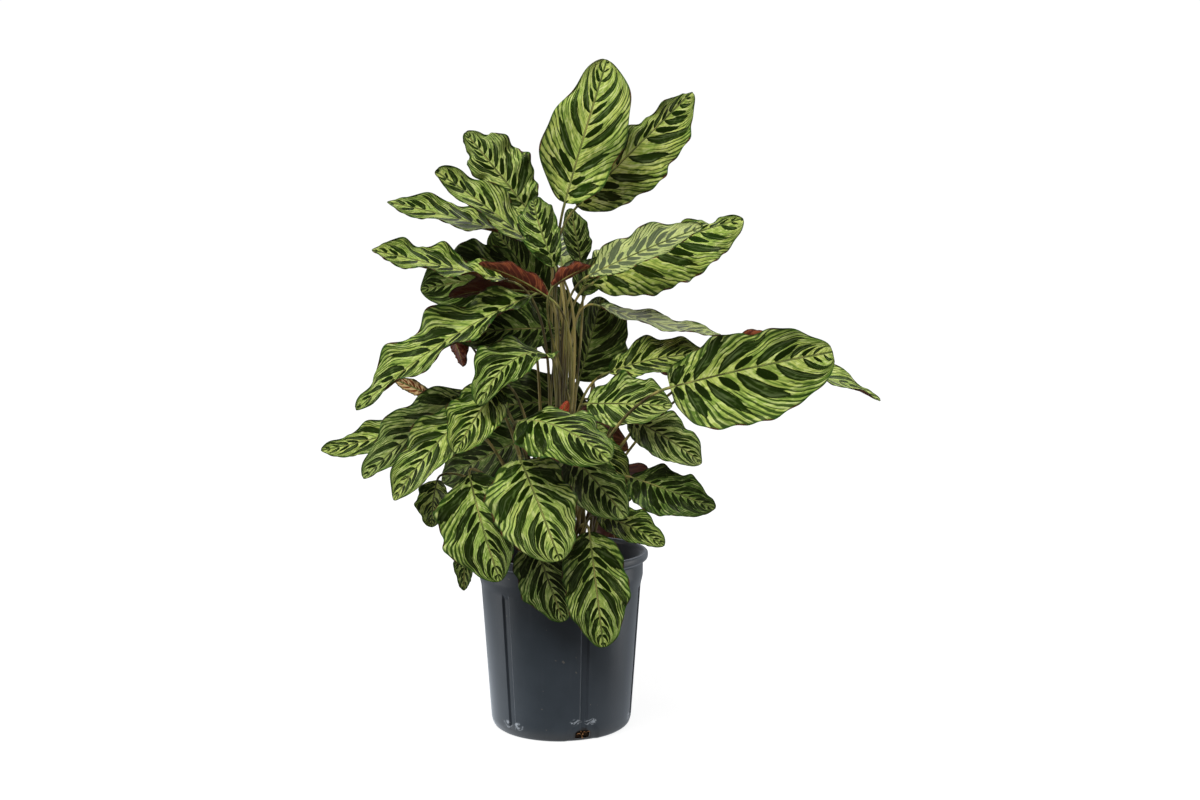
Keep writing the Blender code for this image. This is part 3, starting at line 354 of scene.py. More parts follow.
class Blade:
    """The curved sheet of one leaf, given by the share t of the way along it and v of the way across it."""

    def __init__(self, leaf, shift):
        self.leaf = leaf
        self.base = Vector(leaf.base) * CM + shift
        self.span = Vector(leaf.tip) * CM + shift - self.base
        axis = self.span.normalized()
        faces = Vector(leaf.faces)
        self.length = self.span.length
        self.up = (faces - axis * faces.dot(axis)).normalized()
        draw = random.Random(leaf.name)
        crests = leaf.crests or (draw.random(), draw.random())
        self.phases = [0.25 - leaf.waves * crest for crest in crests]

    def midrib(self, t):
        """Point of the midrib, from 0 at the stem to 1 at the tip."""
        hump = 4.0 * t * (1.0 - t) * self.length
        return self.base + self.span * t + self.up * (self.leaf.arch * hump)

    def directions(self, t):
        """Unit vectors along, across and above the midrib."""
        step = 0.001
        along = (self.midrib(t + step) - self.midrib(t - step)).normalized()
        flat_across = along.cross(self.up).normalized()
        across = Matrix.Rotation(math.radians(self.leaf.twist) * t, 3, along) @ flat_across
        return along, across, across.cross(along)

    def outline(self, t):
        """Half width as a share of the widest: round at the stem, drawn to a point at the tip."""
        if not 0.0 < t < 1.0:
            return 0.0
        return math.sin(math.pi * t ** WIDEST_NEAR_STEM) ** self.leaf.point

    def sheet(self, t, v, spare=0.0):
        """Point of the middle of the blade's thickness. v runs from -1 to 1 between the margins."""
        along, across, above = self.directions(t)
        phase = self.phases[0] if v < 0.0 else self.phases[1]
        ripple = math.sin(2.0 * math.pi * (self.leaf.waves * t + phase))
        share = 1.0 + math.copysign(self.leaf.uneven, v) + SCALLOP * self.leaf.wave * ripple
        half = self.leaf.width * CM / 2.0 * self.outline(t) * share + spare
        curl = math.radians(self.leaf.cup)
        out = half * math.sin(curl * abs(v)) / curl
        rise = half * (1.0 - math.cos(curl * abs(v))) / curl
        height = self.leaf.wave * self.leaf.width * CM / 2.0 * math.sqrt(self.outline(t))
        return self.midrib(t) + across * math.copysign(out, v) + above * (rise + ripple * height * v * v)

    def normal(self, t, v):
        """Unit vector out of the upper side."""
        step_along = 0.004
        step_across = 0.02
        before = max(t - step_along, 0.001)
        after = min(t + step_along, 0.999)
        left = max(v - step_across, -1.0)
        right = min(v + step_across, 1.0)
        run = self.sheet(after, v) - self.sheet(before, v)
        breadth = self.sheet(t, right) - self.sheet(t, left)
        return breadth.cross(run).normalized()

    def ring(self, t, spare=0.0):
        """Closed loop round the blade: along the upper side from left to right, and back underneath."""
        half_thick = BLADE_THICKNESS / 2.0 + spare
        keel = KEEL * (1.0 - t)
        upper = []
        lower = []
        for v in SECTION:
            middle = self.sheet(t, v, spare)
            normal = self.normal(t, v)
            upper.append(middle + normal * half_thick)
            lower.append(middle - normal * (half_thick + (keel if v == 0.0 else 0.0)))
        return upper + lower[::-1]

    def rings(self, spare=0.0):
        """Rings from the stem to near the tip, closer together at both ends."""
        rows = self.leaf.rows
        found = []
        for i in range(rows):
            u = END_MARGIN + (1.0 - 2.0 * END_MARGIN) * i / (rows - 1)
            t = u - CROWDED_ENDS * math.sin(2.0 * math.pi * u) / (2.0 * math.pi)
            found.append(self.ring(t, spare))
        return found


class Stem:
    """The stem of one leaf: straight up out of its hole, then one curve into the blade."""

    def __init__(self, blade, root, bow):
        width = blade.leaf.width * CM
        self.foot_radius = THIN_FOOT + FOOT_PER_WIDTH * width
        self.top_radius = THIN_TOP + TOP_PER_WIDTH * width
        self.root = root
        top = blade.midrib(0.0)
        along, self.blade_across, _ = blade.directions(0.0)
        reach = (top - root).length
        lower = root + Vector((0, 0, UPRIGHT * reach)) + bow
        upper = top - along * (BEND * reach) + bow / 2.0
        self.points = (root, lower, upper, top)

    def centre(self, s):
        """Point of the stem's axis, from 0 at the soil to 1 at the blade."""
        a, b, c, d = self.points
        r = 1.0 - s
        return a * r ** 3 + b * (3 * r * r * s) + c * (3 * r * s * s) + d * s ** 3

    def direction(self, s):
        """Unit vector along the axis, upwards."""
        a, b, c, d = self.points
        r = 1.0 - s
        return ((b - a) * (r * r) + (c - b) * (2 * r * s) + (d - c) * (s * s)).normalized()

    def rings(self, count, sides, spare=0.0):
        """Rings from the hole's bottom to the blade, without twist between them."""
        across = self.blade_across
        found = []
        for i in range(count, -1, -1):
            s = 1.0 - (1.0 - i / count) ** CROWDED_TOP
            along = self.direction(s) if i else Vector((0, 0, 1))
            across = (across - along * across.dot(along)).normalized()
            above = across.cross(along)
            radius = self.foot_radius + (self.top_radius - self.foot_radius) * s + spare
            found.append(circle(self.centre(s), across, above, radius, sides))
        sunk = Vector((0, 0, HOLE_DEPTH + STEM_RISE - GAP))
        found.append([point - sunk for point in found[-1]])
        return found[::-1]


def circle(centre, across, above, radius, sides):
    """Loop of points that starts underneath and goes round by the left."""
    loop = []
    for k in range(sides):
        angle = 2.0 * math.pi * k / sides
        loop.append(centre - above * (radius * math.cos(angle)) - across * (radius * math.sin(angle)))
    return loop


class Skin:
    """Points and triangles of one of the frame's solids, gathered loop by loop."""

    def __init__(self):
        self.points = []
        self.triangles = []

    def add(self, loop):
        """Add a loop's points and return their numbers."""
        start = len(self.points)
        self.points.extend(loop)
        return list(range(start, len(self.points)))

    def face(self, a, b, c):
        self.triangles.append((a, b, c))

    def tube(self, lower, upper):
        """Join two loops of the same length."""
        count = len(lower)
        for k in range(count):
            n = (k + 1) % count
            self.face(lower[k], lower[n], upper[n])
            self.face(lower[k], upper[n], upper[k])

    def zip(self, lower, upper):
        """Join two loops of different length that start at the same side."""
        i = 0
        j = 0
        while i < len(lower) or j < len(upper):
            a = lower[i % len(lower)]
            b = upper[j % len(upper)]
            if j == len(upper) or (i < len(lower) and (i + 1) * len(upper) <= (j + 1) * len(lower)):
                self.face(a, lower[(i + 1) % len(lower)], b)
                i += 1
            else:
                self.face(a, upper[(j + 1) % len(upper)], b)
                j += 1

    def fan(self, loop, tip):
        """Close a loop with one point."""
        for k in range(len(loop)):
            self.face(loop[k], loop[(k + 1) % len(loop)], tip)

    def blade_band(self, near, far):
        """Join two rings of a blade. Both sides are split alike, along the side veins."""
        count = len(near)
        columns = count // 2
        for k in range(count):
            n = (k + 1) % count
            left_half = k < columns // 2 or count - 2 - k < columns // 2
            outer_first = left_half == (k < columns)
            if outer_first:
                self.face(near[k], near[n], far[k])
                self.face(near[n], far[n], far[k])
            else:
                self.face(near[k], near[n], far[n])
                self.face(near[k], far[n], far[k])


def blade_skin(blade, skin, spare=0.0):
    """Add the blade and return its first ring, turned to start under the midrib."""
    rings = [skin.add(ring) for ring in blade.rings(spare)]
    for near, far in zip(rings, rings[1:]):
        skin.blade_band(near, far)
    tip = skin.add([blade.midrib(1.0) + blade.directions(1.0)[0] * spare])[0]
    skin.fan(rings[-1], tip)
    under_midrib = len(SECTION) + len(SECTION) // 2
    return rings[0][under_midrib:] + rings[0][:under_midrib]


def stem_skin(stem, skin, spare=0.0):
    """Add the stem and return its rings."""
    rings = [skin.add(ring) for ring in stem.rings(STEM_RINGS, STEM_SIDES, spare)]
    for lower, upper in zip(rings, rings[1:]):
        skin.tube(lower, upper)
    return rings


def leaf_skin(blade, stem):
    """Points and triangles of a whole leaf."""
    skin = Skin()
    stem_rings = stem_skin(stem, skin)
    first_ring = blade_skin(blade, skin)
    skin.zip(stem_rings[-1], first_ring)
    foot = stem_rings[0]
    for k in range(1, len(foot) - 1):
        skin.face(foot[0], foot[k], foot[k + 1])
    return skin


def touches(skin, obstacles):
    """Whether a skin crosses anything placed so far."""
    tree = BVHTree.FromPolygons(skin.points, skin.triangles)
    return bool(tree.overlap(obstacles))


def crosses_itself(skin):
    """Whether two triangles that share no corner cross."""
    tree = BVHTree.FromPolygons(skin.points, skin.triangles)
    for a, b in tree.overlap(tree):
        if a < b and not set(skin.triangles[a]) & set(skin.triangles[b]):
            return True
    return False


def nearer_and_farther():
    """Shifts of a blade along the line of sight from the front and a little up or down, smallest first."""
    steps = range(-MOST_SHIFTS, MOST_SHIFTS + 1)
    shifts = [Vector((0, SHIFT_STEP * k, lift)) for k in steps for lift in LIFTS]
    return sorted(shifts, key=lambda shift: abs(shift.y) + LIFT_COST * abs(shift.z))


def bows():
    """Sideways offsets of a stem's middle, smallest first."""
    yield Vector((0, 0, 0))
    for k in range(1, MOST_BOWS + 1):
        for d in range(BOW_DIRECTIONS):
            angle = 2.0 * math.pi * d / BOW_DIRECTIONS
            yield Vector((math.cos(angle), math.sin(angle), 0)) * (BOW_STEP * k)


def settle(leaf, roots, obstacles):
    """The blade and the stem of a leaf where both are clear of what is placed, and of each other."""
    for shift in nearer_and_farther():
        blade = Blade(leaf, shift)
        fat_blade = Skin()
        blade_skin(blade, fat_blade, CLEARANCE)
        if touches(fat_blade, obstacles):
            continue
        for root in roots:
            for bow in bows():
                stem = Stem(blade, root, bow)
                fat_stem = Skin()
                stem_skin(stem, fat_stem, CLEARANCE)
                if touches(fat_stem, obstacles) or crosses_itself(leaf_skin(blade, stem)):
                    continue
                return blade, stem
    raise RuntimeError("no clear place for " + leaf.name)


def soil_height(x, y):
    """Level of the soil: a low mound about the stems, with shallow bumps."""
    radius = math.hypot(x, y)
    mound = SOIL_MOUND * math.exp(-(radius / MOUND_RADIUS) ** 2)
    along_x, along_y = [2.0 * math.pi * rate for rate in BUMPS_PER_METRE]
    bumps = SOIL_BUMP * math.sin(x * along_x + 1.0) * math.sin(y * along_y + 2.0)
    fade = 1.0 - min(radius / SOIL_RADIUS, 1.0) ** 4
    return SOIL_TOP + mound + bumps * fade


def crown_places(count):
    """Where stems leave the soil: an even spiral about the middle of the pot."""
    places = []
    for k in range(count):
        radius = CROWN_PITCH * math.sqrt(k + 0.5)
        angle = GOLDEN_ANGLE * k
        x = radius * math.cos(angle)
        y = radius * math.sin(angle)
        places.append(Vector((x, y, soil_height(x, y) + STEM_RISE)))
    return places


def wanted_roots(leaves):
    """Where each leaf would best leave the soil: tall ones inside, low ones outside, on the blade's side."""
    edge = CROWN_PITCH * math.sqrt(len(leaves))
    wanted = {}
    tallest_first = sorted(leaves, key=lambda leaf: -leaf.base[2])
    for rank, leaf in enumerate(tallest_first):
        side = Vector((leaf.base[0], leaf.base[1])).normalized()
        wanted[leaf.name] = side * (edge * math.sqrt(rank / len(leaves)))
    return wanted


def pot_angles():
    """Directions of the frame pot's columns: three to each groove, and even steps between grooves."""
    sector = 2.0 * math.pi / GROOVES
    angles = []
    for g in range(GROOVES):
        middle = FIRST_GROOVE + sector * g
        angles.append((middle - GROOVE_HALF_ANGLE, 0.0))
        angles.append((middle, 1.0))
        angles.append((middle + GROOVE_HALF_ANGLE, 0.0))
        plain = sector - 2.0 * GROOVE_HALF_ANGLE
        for k in range(1, POT_STEPS_BETWEEN_GROOVES + 1):
            share = k / (POT_STEPS_BETWEEN_GROOVES + 1)
            angles.append((middle + GROOVE_HALF_ANGLE + plain * share, 0.0))
    return angles


def body_radius(z):
    """Outer radius of the pot's tapered body."""
    share = (z - FOOT_HEIGHT) / (BODY_TOP - FOOT_HEIGHT)
    return BODY_BOTTOM_RADIUS + (BODY_TOP_RADIUS - BODY_BOTTOM_RADIUS) * share


def pot_rows():
    """Radius, height and groove depth of each level: up the outside, over the lip and down the inside."""
    low = FOOT_HEIGHT + GROOVE_RUNOUT
    high = BODY_TOP - GROOVE_RUNOUT
    lip_bottom = POT_HEIGHT - LIP_HEIGHT
    outside = [
        (BASE_RADIUS, 0.0, 0.0),
        (BODY_BOTTOM_RADIUS - FOOT_ROUND, FLOOR, 0.0),
        (BODY_BOTTOM_RADIUS, FOOT_HEIGHT, 0.0),
        (body_radius(low), low, GROOVE_DEPTH),
        (body_radius(high), high, GROOVE_DEPTH),
        (BODY_TOP_RADIUS, BODY_TOP, 0.0),
        (BAND_RADIUS, BAND_BOTTOM, 0.0),
        (BAND_RADIUS, lip_bottom - LIP_ROUND, 0.0),
        (LIP_RADIUS - LIP_ROUND / 3.0, lip_bottom, 0.0),
        (LIP_RADIUS, POT_HEIGHT - LIP_ROUND, 0.0),
        (LIP_RADIUS - LIP_ROUND, POT_HEIGHT, 0.0),
    ]
    inside = [
        (BAND_RADIUS + LIP_ROUND / 2.0, POT_HEIGHT, 0.0),
        (BAND_RADIUS - WALL, POT_HEIGHT - LIP_ROUND - 1.0 * MM, 0.0),
        (BAND_RADIUS - WALL, BAND_BOTTOM, 0.0),
        (BODY_TOP_RADIUS - WALL, BODY_TOP, 0.0),
        (body_radius(high) - WALL, high, GROOVE_DEPTH),
        (body_radius(low) - WALL, low, GROOVE_DEPTH),
        (BODY_BOTTOM_RADIUS - FOOT_ROUND - WALL, FLOOR, 0.0),
    ]
    return outside + inside


def pot_skin():
    """The frame's pot, which the leaves keep clear of."""
    skin = Skin()
    rows = []
    for radius, z, depth in pot_rows():
        loop = []
        for angle, groove in pot_angles():
            reach = radius - depth * groove
            loop.append(Vector((reach * math.cos(angle), reach * math.sin(angle), z)))
        rows.append(skin.add(loop))
    for lower, upper in zip(rows, rows[1:]):
        skin.tube(lower, upper)
    underside = skin.add([Vector((0, 0, 0))])[0]
    floor = skin.add([Vector((0, 0, FLOOR))])[0]
    skin.fan(rows[0], underside)
    skin.fan(rows[-1], floor)
    return skin


def placed_leaves():
    """Blade and stem of every leaf, where the frame has them."""
    wanted = wanted_roots(LEAVES)
    free = crown_places(len(LEAVES) + SPARE_ROOTS)
    pot = pot_skin()
    points = list(pot.points)
    triangles = list(pot.triangles)
    placed = []
    for leaf in LEAVES:
        obstacles = BVHTree.FromPolygons(points, triangles)
        nearest = sorted(free, key=lambda place: (place.xy - wanted[leaf.name]).length)
        blade, stem = settle(leaf, nearest[:ROOTS_TRIED], obstacles)
        free.remove(stem.root)
        skin = leaf_skin(blade, stem)
        start = len(points)
        points.extend(skin.points)
        triangles.extend((a + start, b + start, c + start) for a, b, c in skin.triangles)
        placed.append((blade, stem))
    return placed


class Graph:
    """A node tree in the making."""

    def __init__(self, tree):
        self.tree = tree

    def feed(self, socket, value):
        """Link a value of this tree to a socket, or set the socket's own number."""
        if isinstance(value, Value):
            self.tree.links.new(value.socket, socket)
        elif value is not None:
            socket.default_value = value

    def call(self, kind, *values, result=0, **settings):
        """Add a node, feed its inputs in order and return one of its outputs."""
        node = self.tree.nodes.new(kind)
        for name, setting in settings.items():
            setattr(node, name, setting)
        for socket, value in zip(node.inputs, values):
            self.feed(socket, value)
        return Value(self, node.outputs[result])

    def combine(self, x, y, z):
        return self.call("ShaderNodeCombineXYZ", x, y, z)

    def split(self, arrow):
        """The three numbers of a vector."""
        first = self.call("ShaderNodeSeparateXYZ", arrow)
        return [Value(self, socket) for socket in first.socket.node.outputs]

    def smooth(self, value, none, full):
        """0 where the value is none, 1 where it is full, with a soft step between, upwards or downwards."""
        return self.call("ShaderNodeMapRange", value, none, full, 0.0, 1.0, interpolation_type="SMOOTHSTEP")

    def noise(self, place, scale, detail=2.0, roughness=0.5):
        return self.call("ShaderNodeTexNoise", place, None, scale, detail, roughness, noise_dimensions="3D")

    def draw(self, number):
        """An even random number for each whole number."""
        return self.call("ShaderNodeTexWhiteNoise", None, number, noise_dimensions="1D")

    def colour(self, first, second, share):
        """The first colour where the share is 0, the second where it is 1."""
        node = self.tree.nodes.new("ShaderNodeMix")
        node.data_type = "RGBA"
        for number, value in ((0, share), (6, linear(first)), (7, linear(second))):
            self.feed(node.inputs[number], value)
        return Value(self, node.outputs[2])

    def layers(self, ground, *coats):
        """A ground colour under coats of others.

        A coat is a colour and the share it covers. Or it is a colour, a value, the two values where it starts
        to show and is full, and the share it then covers.
        """
        for colour, share, *span in coats:
            if span:
                none, full, cover = span
                share = self.smooth(share, none, full) * cover
            ground = self.colour(ground, colour, share)
        return ground


def math_node(operation):
    """A method of Value that adds a Math node."""
    return lambda self, *others: self.number(operation, *others)


class Value:
    """A number, vector or colour in a node tree. Python's operators on it add Math nodes."""

    def __init__(self, graph, socket):
        self.graph = graph
        self.socket = socket
        self.is_arrow = socket.type == "VECTOR"

    def number(self, operation, *others):
        return self.graph.call("ShaderNodeMath", self, *others, operation=operation)

    def arrow(self, operation, *others, result="Vector"):
        return self.graph.call("ShaderNodeVectorMath", self, *others, result=result, operation=operation)

    def either(self, operation, other):
        return self.arrow(operation, other) if self.is_arrow else self.number(operation, other)

    def __add__(self, other):
        return self.either("ADD", other)

    def __sub__(self, other):
        return self.either("SUBTRACT", other)

    def __rsub__(self, other):
        return self.graph.call("ShaderNodeMath", other, self, operation="SUBTRACT")

    def __mul__(self, other):
        if self.is_arrow:
            return self.arrow("SCALE", None, None, other)
        return self.number("MULTIPLY", other)

    __radd__ = __add__
    __rmul__ = __mul__
    __truediv__ = math_node("DIVIDE")
    __pow__ = math_node("POWER")
    __abs__ = math_node("ABSOLUTE")
    __gt__ = math_node("GREATER_THAN")
    __lt__ = math_node("LESS_THAN")
    sin = math_node("SINE")
    cos = math_node("COSINE")
    sign = math_node("SIGN")
    root = math_node("SQRT")
    floor = math_node("FLOOR")
    fraction = math_node("FRACT")
    at_least = math_node("MAXIMUM")
    at_most = math_node("MINIMUM")

    def clamped(self):
        return self.graph.call("ShaderNodeClamp", self, 0.0, 1.0)

    def cross(self, other):
        return self.arrow("CROSS_PRODUCT", other)

    def normalized(self):
        return self.arrow("NORMALIZE")

    def length(self):
        return self.arrow("LENGTH", result="Value")


class GeometryGraph(Graph):
    """A Geometry Nodes tree with named inputs."""

    def __init__(self, name, numbers, arrows=()):
        super().__init__(bpy.data.node_groups.new(name, "GeometryNodeTree"))
        face = self.tree.interface
        face.new_socket(name="Geometry", in_out="INPUT", socket_type="NodeSocketGeometry")
        self.keys = {}
        for labels, kind in ((arrows, "NodeSocketVector"), (numbers, "NodeSocketFloat")):
            for label in labels:
                socket = face.new_socket(name=label, in_out="INPUT", socket_type=kind)
                self.keys[label] = socket.identifier
        face.new_socket(name="Geometry", in_out="OUTPUT", socket_type="NodeSocketGeometry")
        entry = self.tree.nodes.new("NodeGroupInput")
        self.inputs = {socket.name: Value(self, socket) for socket in entry.outputs if socket.name}

    def store(self, geometry, name, value, kind="FLOAT"):
        return self.call("GeometryNodeStoreNamedAttribute", geometry, None, name, value,
                         data_type=kind, domain="POINT")

    def stored(self, name, kind="FLOAT"):
        return self.call("GeometryNodeInputNamedAttribute", name, data_type=kind)

    def coat(self, geometry, material, where=None):
        return self.call("GeometryNodeSetMaterial", geometry, where, material)

    def tube(self, sides, thickness):
        """A round tube, closed at its ends, along the object's own edges."""
        path = self.call("GeometryNodeMeshToCurve", self.inputs["Geometry"])
        ring = self.call("GeometryNodeCurvePrimitiveCircle", sides, None, None, None, 1.0)
        return self.call("GeometryNodeCurveToMesh", path, ring, thickness, True)

    def any_number(self, low, high, seed):
        """A random number for each point."""
        return self.call("FunctionNodeRandomValue", None, None, low, high, None, None, None, None, seed,
                         data_type="FLOAT", result=1)

    def any_arrow(self, low, high, seed):
        """A random vector for each point."""
        return self.call("FunctionNodeRandomValue", low, high, None, None, None, None, None, None, seed,
                         data_type="FLOAT_VECTOR")

    def join(self, *parts):
        node = self.tree.nodes.new("GeometryNodeJoinGeometry")
        for part in parts:
            self.tree.links.new(part.socket, node.inputs[0])
        return Value(self, node.outputs[0])

    def finish(self, geometry):
        """End in plain geometry."""
        realized = self.call("GeometryNodeRealizeInstances", geometry)
        leave = self.tree.nodes.new("NodeGroupOutput")
        self.feed(leave.inputs[0], realized)


def vein_count(s, veins, crowding, right, tone):
    """Grows by one from each side vein to the next along one half of a blade."""
    spread = s + (s * TURN).sin() * crowding / TURN
    return spread * veins + right * 0.5 + tone


class LeafGraph(GeometryGraph):
    """Geometry Nodes for one leaf. The object's own edges are the path of its stem and midrib."""

    def __init__(self, upper, under, stalk):
        numbers = ("Width", "Arch", "Uneven", "Twist", "Curl", "Wave", "Waves", "Left phase", "Right phase",
                   "Point", "Veins", "Crowding", "Tone", "Depth")
        super().__init__("peacock_leaf", numbers, arrows=("Base", "Span", "Up"))
        take = self.inputs
        self.t = self.stored("along")
        self.v = self.stored("across")
        self.w = abs(self.v)
        self.right = self.v > 0.0
        self.length = take["Span"].length()
        self.outline = ((self.t ** WIDEST_NEAR_STEM) * math.pi).sin().at_least(0.0) ** take["Point"]
        self.ripple, self.small_wave = self.waves()
        share = 1.0 + take["Uneven"] * self.v.sign() + take["Wave"] * self.ripple * SCALLOP
        share = share + take["Wave"] * self.small_wave * NOTCH
        self.half = take["Width"] * 0.5 * self.outline * share
        blade = self.thickened(self.marked(self.bent(self.flat_grid())))
        blade = self.coat(blade, upper)
        blade = self.coat(blade, under, self.stored("top") < 0.5)
        stem = self.coat(self.tube(ROUND_STEM_SIDES, self.stored("thickness")), stalk)
        self.finish(self.call("GeometryNodeSetShadeSmooth", self.join(blade, stem), None, True))

    def flat_grid(self):
        """A flat grid that wraps once round the blade, from under the midrib by the left and back."""
        grid = self.call("GeometryNodeMeshGrid", 1.0, 1.0, 4 * BLADE_COLUMNS + 1, BLADE_ROWS + 1)
        x, y, _ = self.split(self.call("GeometryNodeInputPosition"))
        around = (x + 0.5) * 4.0
        u = y + 0.5
        along = u - (u * TURN).sin() * (CROWDED_ENDS / TURN)
        even = 1.0 - (around + 1.0).number("PINGPONG", 2.0)
        across = even * (1.0 + CLOSE_MARGINS - even * even * CLOSE_MARGINS)
        upper_half = (0.5 + (1.0 - abs(around - 2.0)) * 100.0).clamped()
        grid = self.store(grid, "along", along)
        grid = self.store(grid, "across", across)
        return self.store(grid, "top", upper_half)

    def waves(self):
        """Height of the margin's waves and of its small ones, from -1 to 1."""
        take = self.inputs
        phase = take["Left phase"] + (take["Right phase"] - take["Left phase"]) * self.right
        ripple = ((take["Waves"] * self.t + phase) * TURN).sin()
        small_turn = take["Waves"] * self.t * FRILLS_PER_WAVE + self.right * FRILL_OFFSET + take["Tone"]
        return ripple, (small_turn * TURN).sin()

    def axes(self):
        """Unit vectors across and above the midrib, as the frame's blade has them."""
        t = self.t
        up = self.inputs["Up"]
        slope = self.inputs["Arch"] * self.length * 4.0 * (1.0 - t * 2.0)
        forward = (self.inputs["Span"] + up * slope).normalized()
        flat_across = forward.cross(up).normalized()
        flat_above = flat_across.cross(forward)
        turn = self.inputs["Twist"] * t
        across = flat_across * turn.cos() - flat_above * turn.sin()
        return across, across.cross(forward)

    def bent(self, grid):
        """The grid bent to the middle of the blade's thickness, by the rule of the frame's blade."""
        take = self.inputs
        t = self.t
        v = self.v
        hump = take["Arch"] * self.length * 4.0 * t * (1.0 - t)
        midrib = take["Base"] + take["Span"] * t + take["Up"] * hump
        across, above = self.axes()
        curl = take["Curl"] * self.w
        out = self.half * curl.sin() / take["Curl"] * v.sign()
        rise = self.half * (1.0 - curl.cos()) / take["Curl"]
        wave = take["Wave"] * take["Width"] * 0.5 * self.outline.root() * self.ripple * v * v
        place = midrib + across * out + above * (rise + wave)
        return self.call("GeometryNodeSetPosition", grid, None, place)

    def marked(self, sheet):
        """Store what the pattern reads: the place along the side veins and across, and the leaf's nature.

        A side vein leans forward by a fan of half widths, and the outline is near a parabola, so the vein
        that passes through a point is the root of a quadratic.
        """
        take = self.inputs
        w = self.w
        slim = take["Width"] * 0.5 / self.length
        fan = slim * (w * VEIN_LEAN + w * w * VEIN_BEND)
        spread = 1.0 + fan * 4.0
        vein = self.t * 2.0 / (spread + (spread * spread - fan * self.t * 16.0).at_least(0.0).root())
        sheet = self.store(sheet, "place", self.combine(vein, self.v, self.half), "FLOAT_VECTOR")
        nature = self.combine(take["Veins"], take["Tone"], take["Depth"])
        sheet = self.store(sheet, "nature", nature, "FLOAT_VECTOR")
        return self.store(sheet, "crowding", take["Crowding"])

    def thickened(self, sheet):
        """Both faces moved off the middle, with pleats, the midrib's crease and the margin's small waves."""
        take = self.inputs
        w = self.w
        vein, _, half = self.split(self.stored("place", "FLOAT_VECTOR"))
        turn = vein_count(vein, take["Veins"], take["Crowding"], self.right, take["Tone"])
        pleat = (turn * TURN).cos() * w * (1.0 - w) * 4.0 * self.length * PLEAT
        crease = (half * w * (-1.0 / CREASE_WIDTH)).number("EXPONENT") * -CREASE
        frill = self.small_wave * (w ** 3.0) * take["Wave"] * FRILL
        relief = (pleat + crease + frill) * (self.outline * 3.0).at_most(1.0)
        thick = (1.0 - w ** MARGIN_POWER) * (FINE_THICKNESS / 2.0) * (self.outline * 5.0).at_most(1.0)
        side = self.stored("top") * 2.0 - 1.0
        normal = self.call("GeometryNodeInputNormal")
        blade = self.call("GeometryNodeSetPosition", sheet, None, None, normal * (thick + side * relief))
        return self.call("GeometryNodeMergeByDistance", blade, None, WELD)


def stem_path(blade, stem):
    """Mesh of edges up the stem and along the underside of the midrib, with its thickness at each point."""
    points = [stem.root - Vector((0, 0, HOLE_DEPTH))]
    radii = [stem.foot_radius]
    shares = [0.0]
    length = (stem.points[3] - stem.points[0]).length
    above = blade.directions(0.0)[2]
    for k in range(STEM_STEPS + 1):
        s = k / STEM_STEPS
        radius = stem.foot_radius + (stem.top_radius - stem.foot_radius) * s
        knee = math.exp(-((1.0 - s) * length / KNEE_LENGTH) ** 2)
        sunk = max(0.0, (s - (1.0 - SINKING_SHARE)) / SINKING_SHARE)
        points.append(stem.centre(s) - above * (UNDER_BLADE * radius * sunk ** 2))
        radii.append(radius * (1.0 + KNEE_SWELL * knee))
        shares.append(s)
    for k in range(1, MIDRIB_STEPS + 1):
        t = MIDRIB_END * k / MIDRIB_STEPS
        radius = stem.top_radius + (MIDRIB_TIP - stem.top_radius) * (k / MIDRIB_STEPS) ** MIDRIB_TAPER
        above = blade.directions(t)[2]
        points.append(blade.midrib(t) - above * (UNDER_BLADE * radius + MIDRIB_DROP))
        radii.append(radius)
        shares.append(1.0 + t)
    mesh = bpy.data.meshes.new("path")
    mesh.from_pydata(points, [(k, k + 1) for k in range(len(points) - 1)], [])
    for name, values in (("thickness", radii), ("height", shares)):
        attribute = mesh.attributes.new(name, "FLOAT", "POINT")
        attribute.data.foreach_set("value", values)
    return mesh


def add(name, data):
    """A new object in the scene."""
    thing = bpy.data.objects.new(name, data)
    bpy.context.scene.collection.objects.link(thing)
    return thing


def grow(thing, graph, settings):
    """Give an object a Geometry Nodes modifier with its inputs set."""
    modifier = thing.modifiers.new(graph.tree.name, "NODES")
    modifier.node_group = graph.tree
    for label, setting in settings.items():
        modifier[graph.keys[label]] = setting


def harvest(*things):
    """Turn what the modifiers make into plain meshes."""
    depsgraph = bpy.context.evaluated_depsgraph_get()
    made = [bpy.data.meshes.new_from_object(thing.evaluated_get(depsgraph)) for thing in things]
    for thing, mesh in zip(things, made):
        thing.modifiers.clear()
        thing.data = mesh
        mesh.name = thing.name


def hold(piece, node=None):
    """Let a piece ride on the plant's one body, and stand for a node of the frame where one is named."""
    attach(piece, "root")
    if node:
        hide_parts(node)


def held(value):
    """The value, held between 0 and 1."""
    return min(max(value, 0.0), 1.0)


def depth_by_height(leaf, draw):
    """How deep green a leaf is that has no depth of its own in the list; the depth is partly painted shade.
    """
    return held(LOW_DEPTH - leaf.base[2] / HEIGHT_PER_DEPTH + draw.uniform(-DEPTH_SPREAD, DEPTH_SPREAD))


